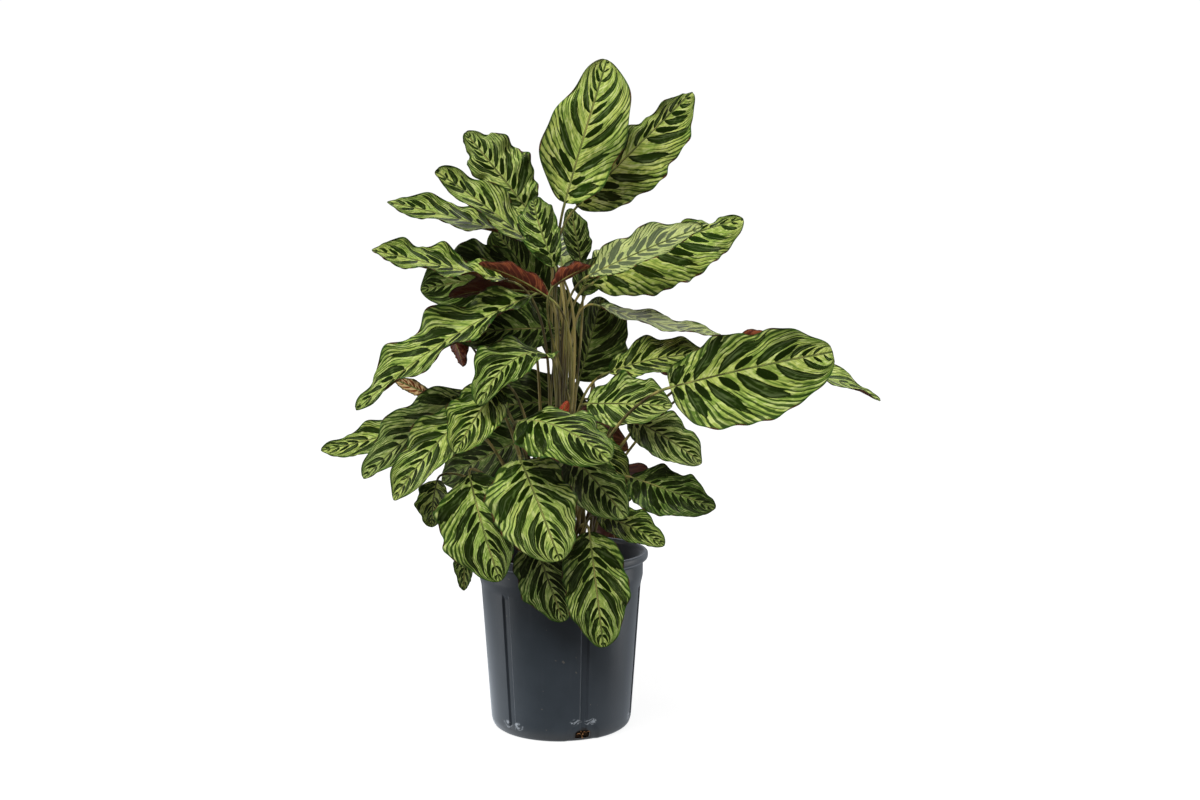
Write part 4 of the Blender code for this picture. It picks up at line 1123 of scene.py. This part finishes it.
def grow_leaves(*materials):
    """The fine leaves, one for each leaf of the frame."""
    graph = LeafGraph(*materials)
    leaves = []
    for blade, stem in placed_leaves():
        leaf = blade.leaf
        draw = random.Random(leaf.name + " colour")
        thing = add(leaf.name.replace("leaf", "foliage"), stem_path(blade, stem))
        grow(thing, graph, {
            "Base": blade.base, "Span": blade.span, "Up": blade.up, "Width": leaf.width * CM,
            "Arch": leaf.arch, "Uneven": leaf.uneven, "Twist": math.radians(leaf.twist),
            "Curl": math.radians(leaf.cup), "Wave": leaf.wave, "Waves": leaf.waves,
            "Left phase": blade.phases[0], "Right phase": blade.phases[1], "Point": leaf.point,
            "Veins": VEINS + VEINS_PER_METRE * blade.length - leaf.crowding, "Crowding": leaf.crowding,
            "Tone": draw.random(), "Depth": leaf.depth or depth_by_height(leaf, draw),
        })
        leaves.append(thing)
    harvest(*leaves)
    for thing in leaves:
        for name in ("along", "across", "top", "thickness"):
            thing.data.attributes.remove(thing.data.attributes[name])
        thing.data.set_sharp_from_angle(angle=SHARP_LEAF_EDGE)
        hold(thing, thing.name.replace("foliage", "leaf"))


def linear(colour):
    """What a colour socket takes. A plain colour is its red, green and blue as shown on screen, 0 to 255."""
    if isinstance(colour, Value):
        return colour
    parts = []
    for shown in colour:
        share = shown / 255.0
        parts.append(share / 12.92 if share <= 0.04045 else ((share + 0.055) / 1.055) ** 2.4)
    return (*parts, 1.0)


class Finish(Graph):
    """A new material's node tree. What is the same all over is set on the shader's own sockets."""

    def __init__(self, name, **settings):
        self.material = bpy.data.materials.new(name)
        self.material.use_nodes = True
        super().__init__(self.material.node_tree)
        self.sockets = self.tree.nodes["Principled BSDF"].inputs
        for label, value in settings.items():
            self.sockets[label.replace("_", " ")].default_value = value

    def place(self):
        """The point of the piece, in metres."""
        return self.call("ShaderNodeTexCoord", result="Object")

    def attribute(self, name, result="Vector"):
        return self.call("ShaderNodeAttribute", result=result, attribute_name=name)

    def paint(self, *layers, roughness=None):
        """The colour, as a ground and its coats, and the roughness where it isn't even."""
        self.feed(self.sockets["Base Color"], self.layers(*layers))
        self.feed(self.sockets["Roughness"], roughness)

    def emboss(self, relief, height, strength):
        """Bump, from a relief that goes from 0 to 1 over a height in millimetres."""
        self.feed(self.sockets["Normal"], self.call("ShaderNodeBump", strength, height * MM, None, relief))


class Pattern:
    """Shares of the peacock markings at a point of a blade, and what they go by."""

    def __init__(self, graph):
        self.graph = graph
        s, v, half = graph.split(graph.attribute("place"))
        veins, self.tone, self.depth = graph.split(graph.attribute("nature"))
        self.deep = self.depth.clamped()
        self.pale = (self.depth * -1.0).clamped()
        self.w = abs(v)
        right = v > 0.0
        self.seed = right * 31.0 + self.tone * 97.0
        wobble = graph.noise(graph.combine(s * veins * 1.6, v * 2.4, self.tone * 40.0), 1.6, 3.0) - 0.5
        crowding = graph.attribute("crowding", "Fac")
        turn = vein_count(s, veins, crowding, right, self.tone) + wobble * 0.12

        self.streak = self.along_veins(turn, 17.0, 1.8, 17.0)
        self.broad = self.along_veins(turn, 8.0, 1.3, 29.0)
        self.mottle = self.along_veins(turn, 4.5, 9.0, 11.0)
        self.patch = graph.noise(graph.combine(s * 3.0, v * 2.0, self.tone * 23.0), 1.3)
        self.ragged = (self.streak - 0.5) * 0.2 + (self.mottle - 0.5) * 0.08
        self.thinned = 1.0 - graph.smooth(s, *THINNING) * THINNED_BY

        inside = self.blotches(s, turn)
        self.middle = graph.smooth(inside, 0.03, 0.16)
        self.blotch = graph.smooth(inside, *MARKING_EDGE).at_least(self.dots(turn + 0.5))
        self.fine = turn * PINSTRIPES + wobble * 0.7
        self.stripe = self.pinstripes()

        half = half * (1.0 / MM)
        self.band = graph.smooth(half * (1.0 - self.w) + wobble * 3.0, *MARGIN_BAND)
        self.rib = graph.smooth(half * self.w, *RIB_BAND)
        self.flank = graph.smooth(half * self.w, *FLANK_BAND)

    def along_veins(self, turn, per_vein, per_half, offset):
        """Noise drawn out along the side veins."""
        place = self.graph.combine(turn * per_vein, self.w * per_half, self.tone * offset)
        return self.graph.noise(place, 1.0)

    def nearest(self, turn, salt):
        """How far the nearest marking's middle line is, and an even random number of its own."""
        nth = turn.floor()
        return abs(turn - nth - 0.5), self.graph.draw(nth + self.seed + salt)

    def blotches(self, s, turn):
        """How far inside a blotch the point is, below 0 if outside."""
        off, draw = self.nearest(turn, 0.0)
        reach = BLOTCH_REACH - s * 0.2 + (draw - 0.5) * 0.28 + self.deep * 0.08
        run = ((self.w - BLOTCH_START) / (reach - BLOTCH_START)).clamped()
        wide = BLOTCH_WIDTH - (s * math.pi).sin() * 0.03 + self.deep * 0.07
        thick = ((run ** 1.05) * math.pi).sin() ** 0.75 * wide * (draw * 0.36 + 0.82) * self.thinned
        return thick - off + self.ragged * self.graph.smooth(run, 0.0, 0.5)

    def dots(self, turn):
        """Plump ovals near the midrib, between the blotches."""
        off, draw = self.nearest(turn, 500.0)
        reach = draw * 0.36 + 0.2
        run = ((self.w - DOT_START) / (reach - DOT_START)).clamped()
        plump = (draw * 0.08 + 0.14) * self.thinned
        thick = ((run ** 0.9) * math.pi).sin() ** 0.6 * plump + self.ragged * 0.5
        return self.graph.smooth(thick - off, *MARKING_EDGE) * (draw > DOTS_LEFT_OUT)

    def pinstripes(self):
        """Fine lines between the blotches, which start anywhere and grow towards the margin."""
        off, draw = self.nearest(self.fine, 900.0)
        smooth = self.graph.smooth
        start = draw * 0.5 + 0.02
        line = smooth(self.w, start, 1.0) * (draw * 0.12 + 0.06) + 0.05 + self.deep * 0.12 + self.ragged
        return smooth(line - off, -0.05, 0.05) * smooth(self.w, start, start + 0.15) * self.thinned


def upper_material():
    """Upper side: yellow green with dark green blotches, dots, pinstripes and margin."""
    graph = Finish("leaf_upper_side", Specular_IOR_Level=0.35, Specular_Tint=(1.0, 1.0, 0.6, 1.0))
    mark = Pattern(graph)
    dry = graph.smooth(mark.depth * -1.0, 1.2, 1.9)
    shade = graph.layers((112, 142, 64), ((56, 84, 30), mark.streak, 0.38, 0.62, 1.0))
    ground = graph.layers(
        (202, 208, 108),
        ((172, 194, 92), mark.patch, 0.35, 0.7, 1.0),
        ((122, 150, 50), mark.streak, 0.42, 0.62, 0.8),             # fine streaks along the veins
        ((74, 102, 34), mark.broad, 0.54, 0.66, 0.75),              # broad dark ones
        ((218, 222, 156), mark.broad, 0.44, 0.32, 0.6),             # and broad light ones
        ((92, 128, 48), mark.w, 0.5, 1.0, 0.25),                    # greener towards the margin
        ((150, 168, 112), mark.tone, 0.4, 1.0, 0.4),                # some leaves are greyer
        (shade, mark.depth.at_least(0.0) * 0.58),                   # low leaves deeper green, partly their colour, partly painted shade
        ((62, 92, 26), mark.mottle, 0.52, 0.64, 0.4),
        ((216, 222, 150), mark.mottle, 0.46, 0.36, 0.4),
        ((182, 194, 100), mark.flank * 0.15),
        ((180, 188, 132), mark.pale * 0.7),                         # paler, greyer leaves
        ((196, 168, 120), dry),                                     # one dry young leaf
    )
    sheen = graph.smooth(mark.streak + mark.broad, 1.0, 1.2) * mark.middle
    glint = graph.smooth(mark.mottle, 0.56, 0.68) * mark.middle
    dark = graph.layers(
        (20, 38, 0),
        ((40, 60, 10), mark.middle * 0.7),
        ((30, 60, 6), mark.patch, 0.45, 0.7, 0.5),
        ((126, 142, 92), sheen * (0.6 - mark.deep * 0.3)),
        # deeper leaves get darker blotches, partly painted shade
        ((8, 18, 0), mark.deep * 0.6),
        ((92, 114, 54), glint * 0.4),
        ((112, 122, 92), mark.pale * 0.7),
        ((112, 62, 34), dry),
    )
    graph.paint(
        ground,
        (graph.colour((32, 58, 10), (120, 70, 40), dry), mark.stripe * 0.9),
        (dark, mark.blotch),
        ((36, 70, 20), mark.band * 0.85),
        ((40, 60, 20), mark.rib * 0.9),
        ((14, 22, 6), mark.depth, 1.1, 1.5, 0.35),                  # painted shade on leaves deep inside the bush
        roughness=0.42 - mark.blotch * 0.05 + (mark.streak - 0.5) * 0.2,
    )
    furrows = (mark.fine * TURN).cos() * 0.4 + mark.streak + mark.broad - mark.rib * 1.2
    graph.emboss(furrows, 0.34, 0.8)
    return graph.material


def under_material():
    """Underside: red brown, with the same markings in a darker red."""
    graph = Finish("leaf_underside", Roughness=0.38, Specular_IOR_Level=0.4)
    mark = Pattern(graph)
    graph.paint(
        (156, 86, 50),
        ((112, 52, 28), mark.streak, 0.35, 0.65, 1.0),
        # deeper leaves darker red brown, partly painted shade
        ((60, 42, 26), mark.deep * 0.8),
        ((206, 92, 54), mark.pale),
        ((76, 26, 14), mark.stripe * 0.7),
        (graph.colour((72, 22, 14), (140, 44, 26), mark.pale), mark.blotch * 0.8),
        ((60, 30, 20), mark.band * 0.8),
    )
    graph.emboss((mark.fine * TURN).cos() * 0.3 + mark.streak * 0.5, 0.22, 0.5)
    return graph.material


def stalk_material():
    """Stems: olive, redder near the soil and greener under the blade, with fine lengthwise lines."""
    graph = Finish("leaf_stalk", Roughness=0.42)
    height = graph.attribute("height", "Fac")
    place = graph.place()
    x, y, z = graph.split(place)
    line = graph.noise(graph.combine(x * 900.0, y * 900.0, z * 40.0), 1.0)
    each = graph.noise(graph.combine(x * 70.0, y * 70.0, z * 3.0), 1.0, 1.0)
    blotch = graph.noise(place, 35.0, 3.0)
    graph.paint(
        (82, 62, 36),
        ((126, 120, 62), height, 0.02, 0.4, 1.0),
        ((136, 144, 76), height, 0.86, 1.0, 1.0),
        ((84, 54, 34), blotch, 0.5, 0.75, 0.45),
        ((56, 58, 24), line, 0.4, 0.7, 0.6),
        ((178, 160, 92), each, 0.48, 0.36, 0.7),                    # some stems are yellower
        ((56, 40, 24), each, 0.5, 0.62, 0.75),                      # and some browner
    )
    graph.emboss(line, 0.2, 0.4)
    return graph.material


def plastic_material():
    """Blow-moulded polyethylene: dark slate grey, satin, with faint clouds, dust, soil stains, scuffs that
    are partly a painted highlight, and painted shade at the grooves and inside.
    """
    graph = Finish("pot_plastic", Specular_IOR_Level=0.5, Sheen_Weight=0.8, Sheen_Roughness=0.45,
                   Sheen_Tint=(0.82, 0.9, 1.0, 1.0))
    smooth = graph.smooth
    place = graph.place()
    x, y, z = graph.split(place)
    cloud = graph.noise(place, 9.0, 4.0, 0.6)
    grain = graph.noise(place, 420.0, 2.0, 0.6)
    speck = graph.noise(place, 160.0, 1.0)
    flow = graph.noise(graph.combine(x * 60.0, y * 60.0, z * 6.0), 1.0, 3.0)

    # Millimetres beside the nearest groove, and up the wall
    turns = (y.number("ARCTAN2", x) - FIRST_GROOVE) * (1.0 / SECTOR) + 0.5
    nth = turns.floor()
    beside = (turns.fraction() - 0.5) * (SECTOR * BODY_BOTTOM_RADIUS / MM)
    away = abs(beside)
    height = z * (1.0 / MM)

    # Two patches of whitish marks at each groove, above the drain hole of the first and lower at the others:
    # partly scuffs, partly a painted highlight on the heels' edges
    level = height - 25.0 + (abs(nth) > 0.5) * 9.0
    swing = (beside * 0.35 + nth * 2.1).sin() * 2.2
    smear = graph.noise(graph.combine(beside * 0.1, (level + swing) * 0.34, nth * 7.3), 1.0, 3.0, 0.6)
    near = smooth(((away - 9.5) / 8.5) ** 2.0 + (level / 5.5) ** 2.0, 1.1, 0.35)
    scuff_and_highlight = smooth(smear, 0.46, 0.58) * near * smooth(grain, 0.3, 0.55)

    # Wet soil that has run out of the drain holes
    mouth = ((beside / 13.0) ** 2.0 + ((height - 4.0) / 14.5) ** 2.0) + (speck - 0.5) * 0.9
    stain = smooth(mouth, 1.1, 0.55) * ((nth * 0.5).fraction() < 0.25)

    # Painted shade at the edges of the grooves, and inside the pot above the soil
    groove_shade = smooth(abs(away - 4.3), 1.5, 0.4) * (smooth(height, 12.0, 18.0) * smooth(height, 182.0, 174.0))
    radius = (x * x + y * y).root()
    inside = smooth(radius, BAND_RADIUS - 0.2 * MM, BAND_RADIUS - WALL) * (z > BAND_BOTTOM)
    dust = smooth(speck, 0.76, 0.8) * 0.5 + smooth(z, 0.02, 0.0) * 0.2
    graph.paint(
        (42, 50, 57),
        ((54, 62, 70), cloud, 0.3, 0.7, 1.0),
        ((66, 70, 76), flow, 0.58, 0.78, 0.3),
        ((24, 28, 34), groove_shade * 0.45),
        # whitish scuffs, partly a painted highlight
        ((176, 184, 192), scuff_and_highlight * 0.9),
        ((28, 21, 15), stain * 0.85),
        ((14, 14, 14), inside * 0.85),
        ((120, 114, 104), dust),
        roughness=0.40 + (cloud - 0.5) * 0.25 + dust * 0.3,
    )
    graph.emboss(grain * 0.5 + flow * 0.8, 0.25, 0.35)
    return graph.material


def soil_material():
    """Moist potting mix: near black with browner crumbs."""
    graph = Finish("potting_mix", Roughness=0.9, Specular_IOR_Level=0.3)
    place = graph.place()
    lump = graph.noise(place, 160.0, 4.0, 0.65)
    graph.paint(
        (22, 17, 13),
        ((62, 45, 31), lump, 0.35, 0.7, 1.0),
        ((84, 62, 42), graph.noise(place, 30.0), 0.55, 0.8, 0.5),
    )
    graph.emboss(lump, 1.2, 0.9)
    return graph.material


def perlite_material():
    """White grains in the potting mix, pitted."""
    graph = Finish("perlite", Roughness=0.8)
    pit = graph.noise(graph.place(), 900.0)
    graph.paint((214, 208, 196), ((160, 150, 136), pit))
    graph.emboss(pit, 0.3, 0.8)
    return graph.material


def root_material():
    """Root ends: brown to straw."""
    graph = Finish("root_ends", Roughness=0.7)
    graph.paint((96, 56, 34), ((172, 128, 84), graph.noise(graph.place(), 300.0)))
    return graph.material


def rounded(corners, radius, steps=4):
    """A polyline with its corners rounded off."""
    points = [corners[0]]
    for before, corner, after in zip(corners, corners[1:], corners[2:]):
        here = Vector(corner)
        back = Vector(before) - here
        on = Vector(after) - here
        start = here + back.normalized() * min(radius, 0.45 * back.length)
        end = here + on.normalized() * min(radius, 0.45 * on.length)
        for k in range(steps + 1):
            share = k / steps
            middle = here * (2 * share * (1 - share))
            points.append(tuple(start * (1 - share) ** 2 + middle + end * share ** 2))
    points.append(corners[-1])
    return points


def closer(points, step):
    """The same polyline with no stretch longer than a step."""
    found = [points[0]]
    for before, after in zip(points, points[1:]):
        a = Vector(before)
        b = Vector(after)
        count = max(1, math.ceil((b - a).length / step))
        found.extend(tuple(a.lerp(b, k / count)) for k in range(1, count + 1))
    return found


def polar(radius, angle):
    """X and Y of a point at a radius and an angle about the pot's axis."""
    return radius * math.cos(angle), radius * math.sin(angle)


def even_angles(count):
    return [TURN * k / count for k in range(count)]


def turned_mesh(name, loops, downwards=False):
    """A mesh through loops about the pot's axis, up or down its outside. The end loops may be one point."""
    mesh = bmesh.new()
    rows = [[mesh.verts.new(point) for point in loop] for loop in loops]
    for near, far in zip(rows, rows[1:]):
        count = max(len(near), len(far))
        for k in range(count):
            n = (k + 1) % count
            if len(near) == 1:
                corners = (near[0], far[n], far[k])
            elif len(far) == 1:
                corners = (near[k], near[n], far[0])
            else:
                corners = (near[k], near[n], far[n], far[k])
            mesh.faces.new(corners[:1] + corners[:0:-1] if downwards else corners)
    data = bpy.data.meshes.new(name)
    mesh.to_mesh(data)
    mesh.free()
    return data


def pot_columns():
    """Directions of the fine pot's columns, close together over the grooves."""
    near = GROOVE_REACH * COLUMNS_REACH
    plain = SECTOR - 2.0 * near
    angles = []
    for g in range(GROOVES):
        start = FIRST_GROOVE + SECTOR * g - near
        angles.extend(start + 2.0 * near * k / COLUMNS_OVER_GROOVE for k in range(COLUMNS_OVER_GROOVE))
        start += 2.0 * near
        angles.extend(start + plain * k / COLUMNS_BETWEEN_GROOVES for k in range(COLUMNS_BETWEEN_GROOVES))
    return angles


def groove_cut(angle, z):
    """How far the outside lies under the plain round wall: the groove, and the heel round a drain hole."""
    away = (angle - FIRST_GROOVE + SECTOR / 2.0) % SECTOR - SECTOR / 2.0
    ends = held((z - FOOT_HEIGHT) / GROOVE_RUNOUT) * held((BODY_TOP - z) / GROOVE_RUNOUT)
    groove = 0.0
    if abs(away) < GROOVE_REACH:
        flank = min((1.0 - abs(away) / GROOVE_REACH) / (1.0 - GROOVE_BED), 1.0)
        groove = GROOVE_DEPTH * flank * flank * (3.0 - 2.0 * flank) * ends
    inside_heel = 1.0 - math.hypot(away * BODY_BOTTOM_RADIUS / HEEL_HALF_WIDTH, z / HEEL_HEIGHT)
    nth = round((angle - FIRST_GROOVE) / SECTOR) % GROOVES
    heel = HEEL_DEPTH * held(inside_heel / HEEL_EDGE) if nth % HOLE_EVERY == 0 else 0.0
    return max(groove, heel)


def pot_profile():
    """Radius and height from the middle of the underside, up the outside and down the inside to the floor."""
    rows = [(radius, z) for radius, z, _ in pot_rows()]
    outer = closer(rounded(rows[:OUTSIDE_ROWS], OUTSIDE_ROUND), OUTSIDE_STEP)
    inner = closer(rounded(rows[OUTSIDE_ROWS:], INSIDE_ROUND), INSIDE_STEP)
    steps = range(1, UNDERSIDE_RINGS)
    underside = [(0.0, 0.0)] + [(BASE_RADIUS * k / UNDERSIDE_RINGS, 0.0) for k in steps]
    floor = [(inner[-1][0] * k / UNDERSIDE_RINGS, FLOOR) for k in reversed(steps)] + [(0.0, FLOOR)]
    return underside + outer + inner + floor


def fine_pot(plastic):
    """The nursery pot with round grooves, a rolled lip and arched heels round its drain holes."""
    loops = []
    for number, (radius, z) in enumerate(pot_profile()):
        if radius == 0.0:
            loops.append([(0, 0, z)])
            continue
        loop = []
        for angle in pot_columns():
            cut = groove_cut(angle, z) if number >= UNDERSIDE_RINGS else 0.0
            loop.append((*polar(radius - cut, angle), z))
        loops.append(loop)
    data = turned_mesh("nursery_pot", loops)
    data.materials.append(plastic)
    pot = add("nursery_pot", data)
    cutter = drain_cutter()
    holes = pot.modifiers.new("drain_holes", "BOOLEAN")
    holes.operation = "DIFFERENCE"
    holes.solver = "EXACT"
    holes.object = cutter
    harvest(pot)
    bpy.data.objects.remove(cutter)
    pot.data.shade_smooth()
    pot.data.set_sharp_from_angle(angle=SHARP_POT_EDGE)
    hold(pot, "pot")


def drain_places():
    """The directions outwards and sideways at each drain hole."""
    for g in range(0, GROOVES, HOLE_EVERY):
        angle = FIRST_GROOVE + TURN * g / GROOVES
        x, y = polar(1.0, angle)
        yield Vector((x, y, 0)), Vector((-y, x, 0))


def drain_cutter():
    """Arched blocks that cut the drain holes at the foot of the grooves."""
    half = DRAIN_WIDTH / 2.0
    crown = DRAIN_BOTTOM + DRAIN_HEIGHT
    shoulder = crown - DRAIN_CORNER / 4.0
    start_height = shoulder - DRAIN_CORNER - 3 * MM
    corners = [(-half, start_height), (-half, DRAIN_BOTTOM), (half, DRAIN_BOTTOM), (half, shoulder)]
    corners += [(0.0, crown), (-half, shoulder), (-half, start_height)]
    arch = rounded(corners, DRAIN_CORNER, 5)[:-1]
    count = len(arch)
    points = []
    faces = []
    for outward, sideways in drain_places():
        start = len(points)
        for radius in (BASE_RADIUS - 1 * MM, BODY_TOP_RADIUS):
            for across, height in arch:
                points.append(outward * radius + sideways * across + Vector((0, 0, height)))
        faces.append([start + k for k in range(count)][::-1])
        faces.append([start + count + k for k in range(count)])
        for k in range(count):
            n = (k + 1) % count
            faces.append((start + k, start + n, start + count + n, start + count + k))
    data = bpy.data.meshes.new("drain_cutter")
    data.from_pydata(points, [], faces)
    shape = bmesh.new()
    shape.from_mesh(data)
    bmesh.ops.recalc_face_normals(shape, faces=shape.faces)
    shape.to_mesh(data)
    shape.free()
    return add("drain_cutter", data)


def soil_sides():
    """Radius and height down the side of the soil."""
    low = FOOT_HEIGHT + GROOVE_RUNOUT
    high = BODY_TOP - GROOVE_RUNOUT
    inset = WALL + GAP + FACET_ROOM
    return [
        (SOIL_RADIUS, BAND_BOTTOM + 1 * MM),
        (BODY_TOP_RADIUS - inset, BODY_TOP + 1 * MM),
        (body_radius(high) - inset - GROOVE_DEPTH, high),
        (body_radius(low) - inset - GROOVE_DEPTH, low),
        (BODY_BOTTOM_RADIUS - FOOT_ROUND - inset - 1.0 * MM, FLOOR + GAP),
    ]


def soil_top(radius, rings, columns, lump):
    """Loops of points over the soil, from the middle out, with lumps of a height in millimetres."""
    loops = [[(0, 0, soil_height(0, 0))]]
    for ring in range(1, rings + 1):
        loop = []
        for angle in even_angles(columns):
            x, y = polar(radius * ring / rings, angle)
            place = Vector((x * TOP_LUMPS_PER_METRE, y * TOP_LUMPS_PER_METRE, 3))
            rise = noise.fractal(place, *LUMPINESS, 4) * lump * MM
            loop.append((x, y, soil_height(x, y) + rise))
        loops.append(loop)
    return loops


def fine_soil(mix):
    """The potting mix: a lumpy top, and the side that shows in the drain holes."""
    loops = soil_top(SOIL_RADIUS, SOIL_RINGS, SOIL_COLUMNS, TOP_LUMP)
    for radius, z in closer(soil_sides(), SOIL_SIDE_STEP):
        loop = []
        for angle in even_angles(SOIL_COLUMNS):
            place = Vector((*polar(radius, angle), z))
            lump = noise.fractal(place * SIDE_LUMPS_PER_METRE, *LUMPINESS, 3)
            reach = 1.0 - SIDE_LUMP * abs(lump)
            loop.append((place.x * reach, place.y * reach, z))
        loops.append(loop)
    loops.append([(0, 0, FLOOR + GAP)])
    data = turned_mesh("potting_mix", loops, downwards=True)
    data.materials.append(mix)
    data.shade_smooth()
    hold(add("potting_mix", data), "soil")


def crumb_graph(material, seed):
    """Geometry Nodes that scatter rough crumbs over the faces of a mesh."""
    graph = GeometryGraph("crumbs", ("Spacing", "Smallest", "Largest", "Lump"))
    take = graph.inputs
    points = graph.call("GeometryNodeDistributePointsOnFaces", take["Geometry"], None, take["Spacing"],
                        MOST_CRUMBS, None, 1.0, seed, distribute_method="POISSON")
    ball = graph.call("GeometryNodeMeshIcoSphere", 1.0, 2)
    place = graph.call("GeometryNodeInputPosition")
    lump = graph.noise(place, take["Lump"]) - 0.5
    ball = graph.call("GeometryNodeSetPosition", ball, None, None, place * lump)
    turn = graph.any_arrow((0.0, 0.0, 0.0), (6.28, 6.28, 6.28), seed + 1)
    shape = graph.any_arrow((0.5, 0.5, 0.35), (1.0, 1.0, 0.8), seed + 2)
    size = graph.any_number(take["Smallest"], take["Largest"], seed + 3)
    crumbs = graph.call("GeometryNodeInstanceOnPoints", points, None, ball, None, None,
                        graph.call("FunctionNodeEulerToRotation", turn), shape * size)
    crumbs = graph.call("GeometryNodeRealizeInstances", crumbs)
    graph.finish(graph.coat(crumbs, material))
    return graph


def scatter_crumbs(name, material, seed, **settings):
    """Crumbs on the soil's top."""
    ground = soil_top(SOIL_RADIUS - CRUMB_MARGIN, CRUMB_GROUND_RINGS, CRUMB_GROUND_COLUMNS, 0.0)
    crumbs = add(name, turned_mesh("soil_ground", ground, downwards=True))
    grow(crumbs, crumb_graph(material, seed), settings)
    harvest(crumbs)
    crumbs.data.shade_smooth()
    hold(crumbs)


def root_ends(material):
    """A few root ends in the mouth of each drain hole."""
    draw = random.Random(5)
    points = []
    edges = []
    for outward, sideways in drain_places():
        for _ in range(ROOTS_PER_HOLE):
            across = draw.uniform(-ROOT_SPREAD, ROOT_SPREAD) * MM
            height = DRAIN_BOTTOM + draw.uniform(*ROOT_HEIGHTS) * MM
            lean = draw.uniform(-ROOT_LEAN, ROOT_LEAN) * MM
            start = len(points)
            for k in range(ROOT_STEPS + 1):
                share = k / ROOT_STEPS
                reach = BODY_BOTTOM_RADIUS - ROOT_INSET + ROOT_BULGE * math.sin(share * math.pi * 0.8)
                swing = across + lean * share + ROOT_SWING * math.sin(5 * share + lean * 900)
                rise = ROOT_RISE * math.sin(share * 3.0) * math.copysign(1, lean)
                z = max(height + rise, DRAIN_BOTTOM + 1 * MM)
                points.append(outward * reach + sideways * swing + Vector((0, 0, z)))
            edges.extend((start + k, start + k + 1) for k in range(ROOT_STEPS))
    data = bpy.data.meshes.new("root_ends")
    data.from_pydata(points, edges, [])
    roots = add("root_ends", data)
    graph = GeometryGraph("roots", ("Thickness",))
    along = graph.call("GeometryNodeSplineParameter")
    tube = graph.tube(6, graph.inputs["Thickness"] * (1.0 - along * ROOT_TAPER))
    graph.finish(graph.coat(tube, material))
    grow(roots, graph, {"Thickness": ROOT_THICKNESS})
    harvest(roots)
    roots.data.shade_smooth()
    hold(roots)


def plain_stage():
    """A white floor with a faint glow of its own, so that it meets the white background without a line."""
    finish = Finish("white_floor", Roughness=0.9, Base_Color=(0.16, 0.16, 0.16, 1.0),
                    Emission_Color=(1.0, 1.0, 1.0, 1.0), Emission_Strength=0.88)
    reach = 12.0
    data = bpy.data.meshes.new("floor")
    data.from_pydata([(-reach, -reach, 0), (reach, -reach, 0), (reach, reach, 0), (-reach, reach, 0)], [],
                     [(0, 1, 2, 3)])
    data.materials.append(finish.material)
    floor = add("floor", data)
    floor.visible_diffuse = False
    floor.visible_glossy = False


def towards(arrow):
    """The turn that points a lamp from where the arrow ends to where it starts."""
    return Vector(arrow).to_track_quat("Z", "Y").to_euler()


def studio():
    """Soft light from above the front, weak light from all round, and panels at the sides for the gloss."""
    world = bpy.data.worlds.new("studio")
    bpy.context.scene.world = world
    world.use_nodes = True
    graph = Graph(world.node_tree)
    seen = graph.call("ShaderNodeLightPath", result="Is Camera Ray")
    mirrored = graph.call("ShaderNodeLightPath", result="Is Glossy Ray")
    background = world.node_tree.nodes["Background"]
    background.inputs["Color"].default_value = (1.0, 1.0, 1.0, 1.0)
    strength = seen * (BACKGROUND - ROOM_LIGHT) - mirrored * (ROOM_LIGHT - ROOM_GLOSS) + ROOM_LIGHT
    graph.feed(background.inputs["Strength"], strength)
    sun = bpy.data.lights.new("key", "SUN")
    sun.energy = 3.4
    sun.angle = math.radians(40)
    key = add("key", sun)
    key.rotation_euler = towards((-0.4, -0.8, 1.3))
    key.visible_glossy = False
    for name, (place, size, power) in PANELS.items():
        panel = bpy.data.lights.new(name, "AREA")
        panel.shape = "RECTANGLE"
        panel.size, panel.size_y = size
        panel.energy = power
        lamp = add(name, panel)
        lamp.location = place
        lamp.rotation_euler = towards(Vector(place) - Vector(PLANT_MIDDLE))


def photo_camera():
    """The photograph's view: a little above the middle, looking slightly down."""
    data = bpy.data.cameras.new("camera")
    data.lens = 42.0
    data.sensor_width = 36.0
    camera = add("camera", data)
    camera.location = (0.05, -1.78, 0.555)
    camera.rotation_euler = (math.radians(85.6), 0.0, 0.0)
    bpy.context.scene.camera = camera


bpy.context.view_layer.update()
photo_camera()
studio()
plain_stage()
bpy.context.scene.view_settings.view_transform = "Standard"
grow_leaves(upper_material(), under_material(), stalk_material())
fine_pot(plastic_material())
potting_mix = soil_material()
fine_soil(potting_mix)
scatter_crumbs("soil_crumbs", potting_mix, seed=11, Lump=1.6,
               Spacing=3.4 * MM, Smallest=0.7 * MM, Largest=2.6 * MM)
scatter_crumbs("soil_grains", perlite_material(), seed=47, Lump=1.3,
               Spacing=17 * MM, Smallest=0.7 * MM, Largest=1.7 * MM)
root_ends(root_material())
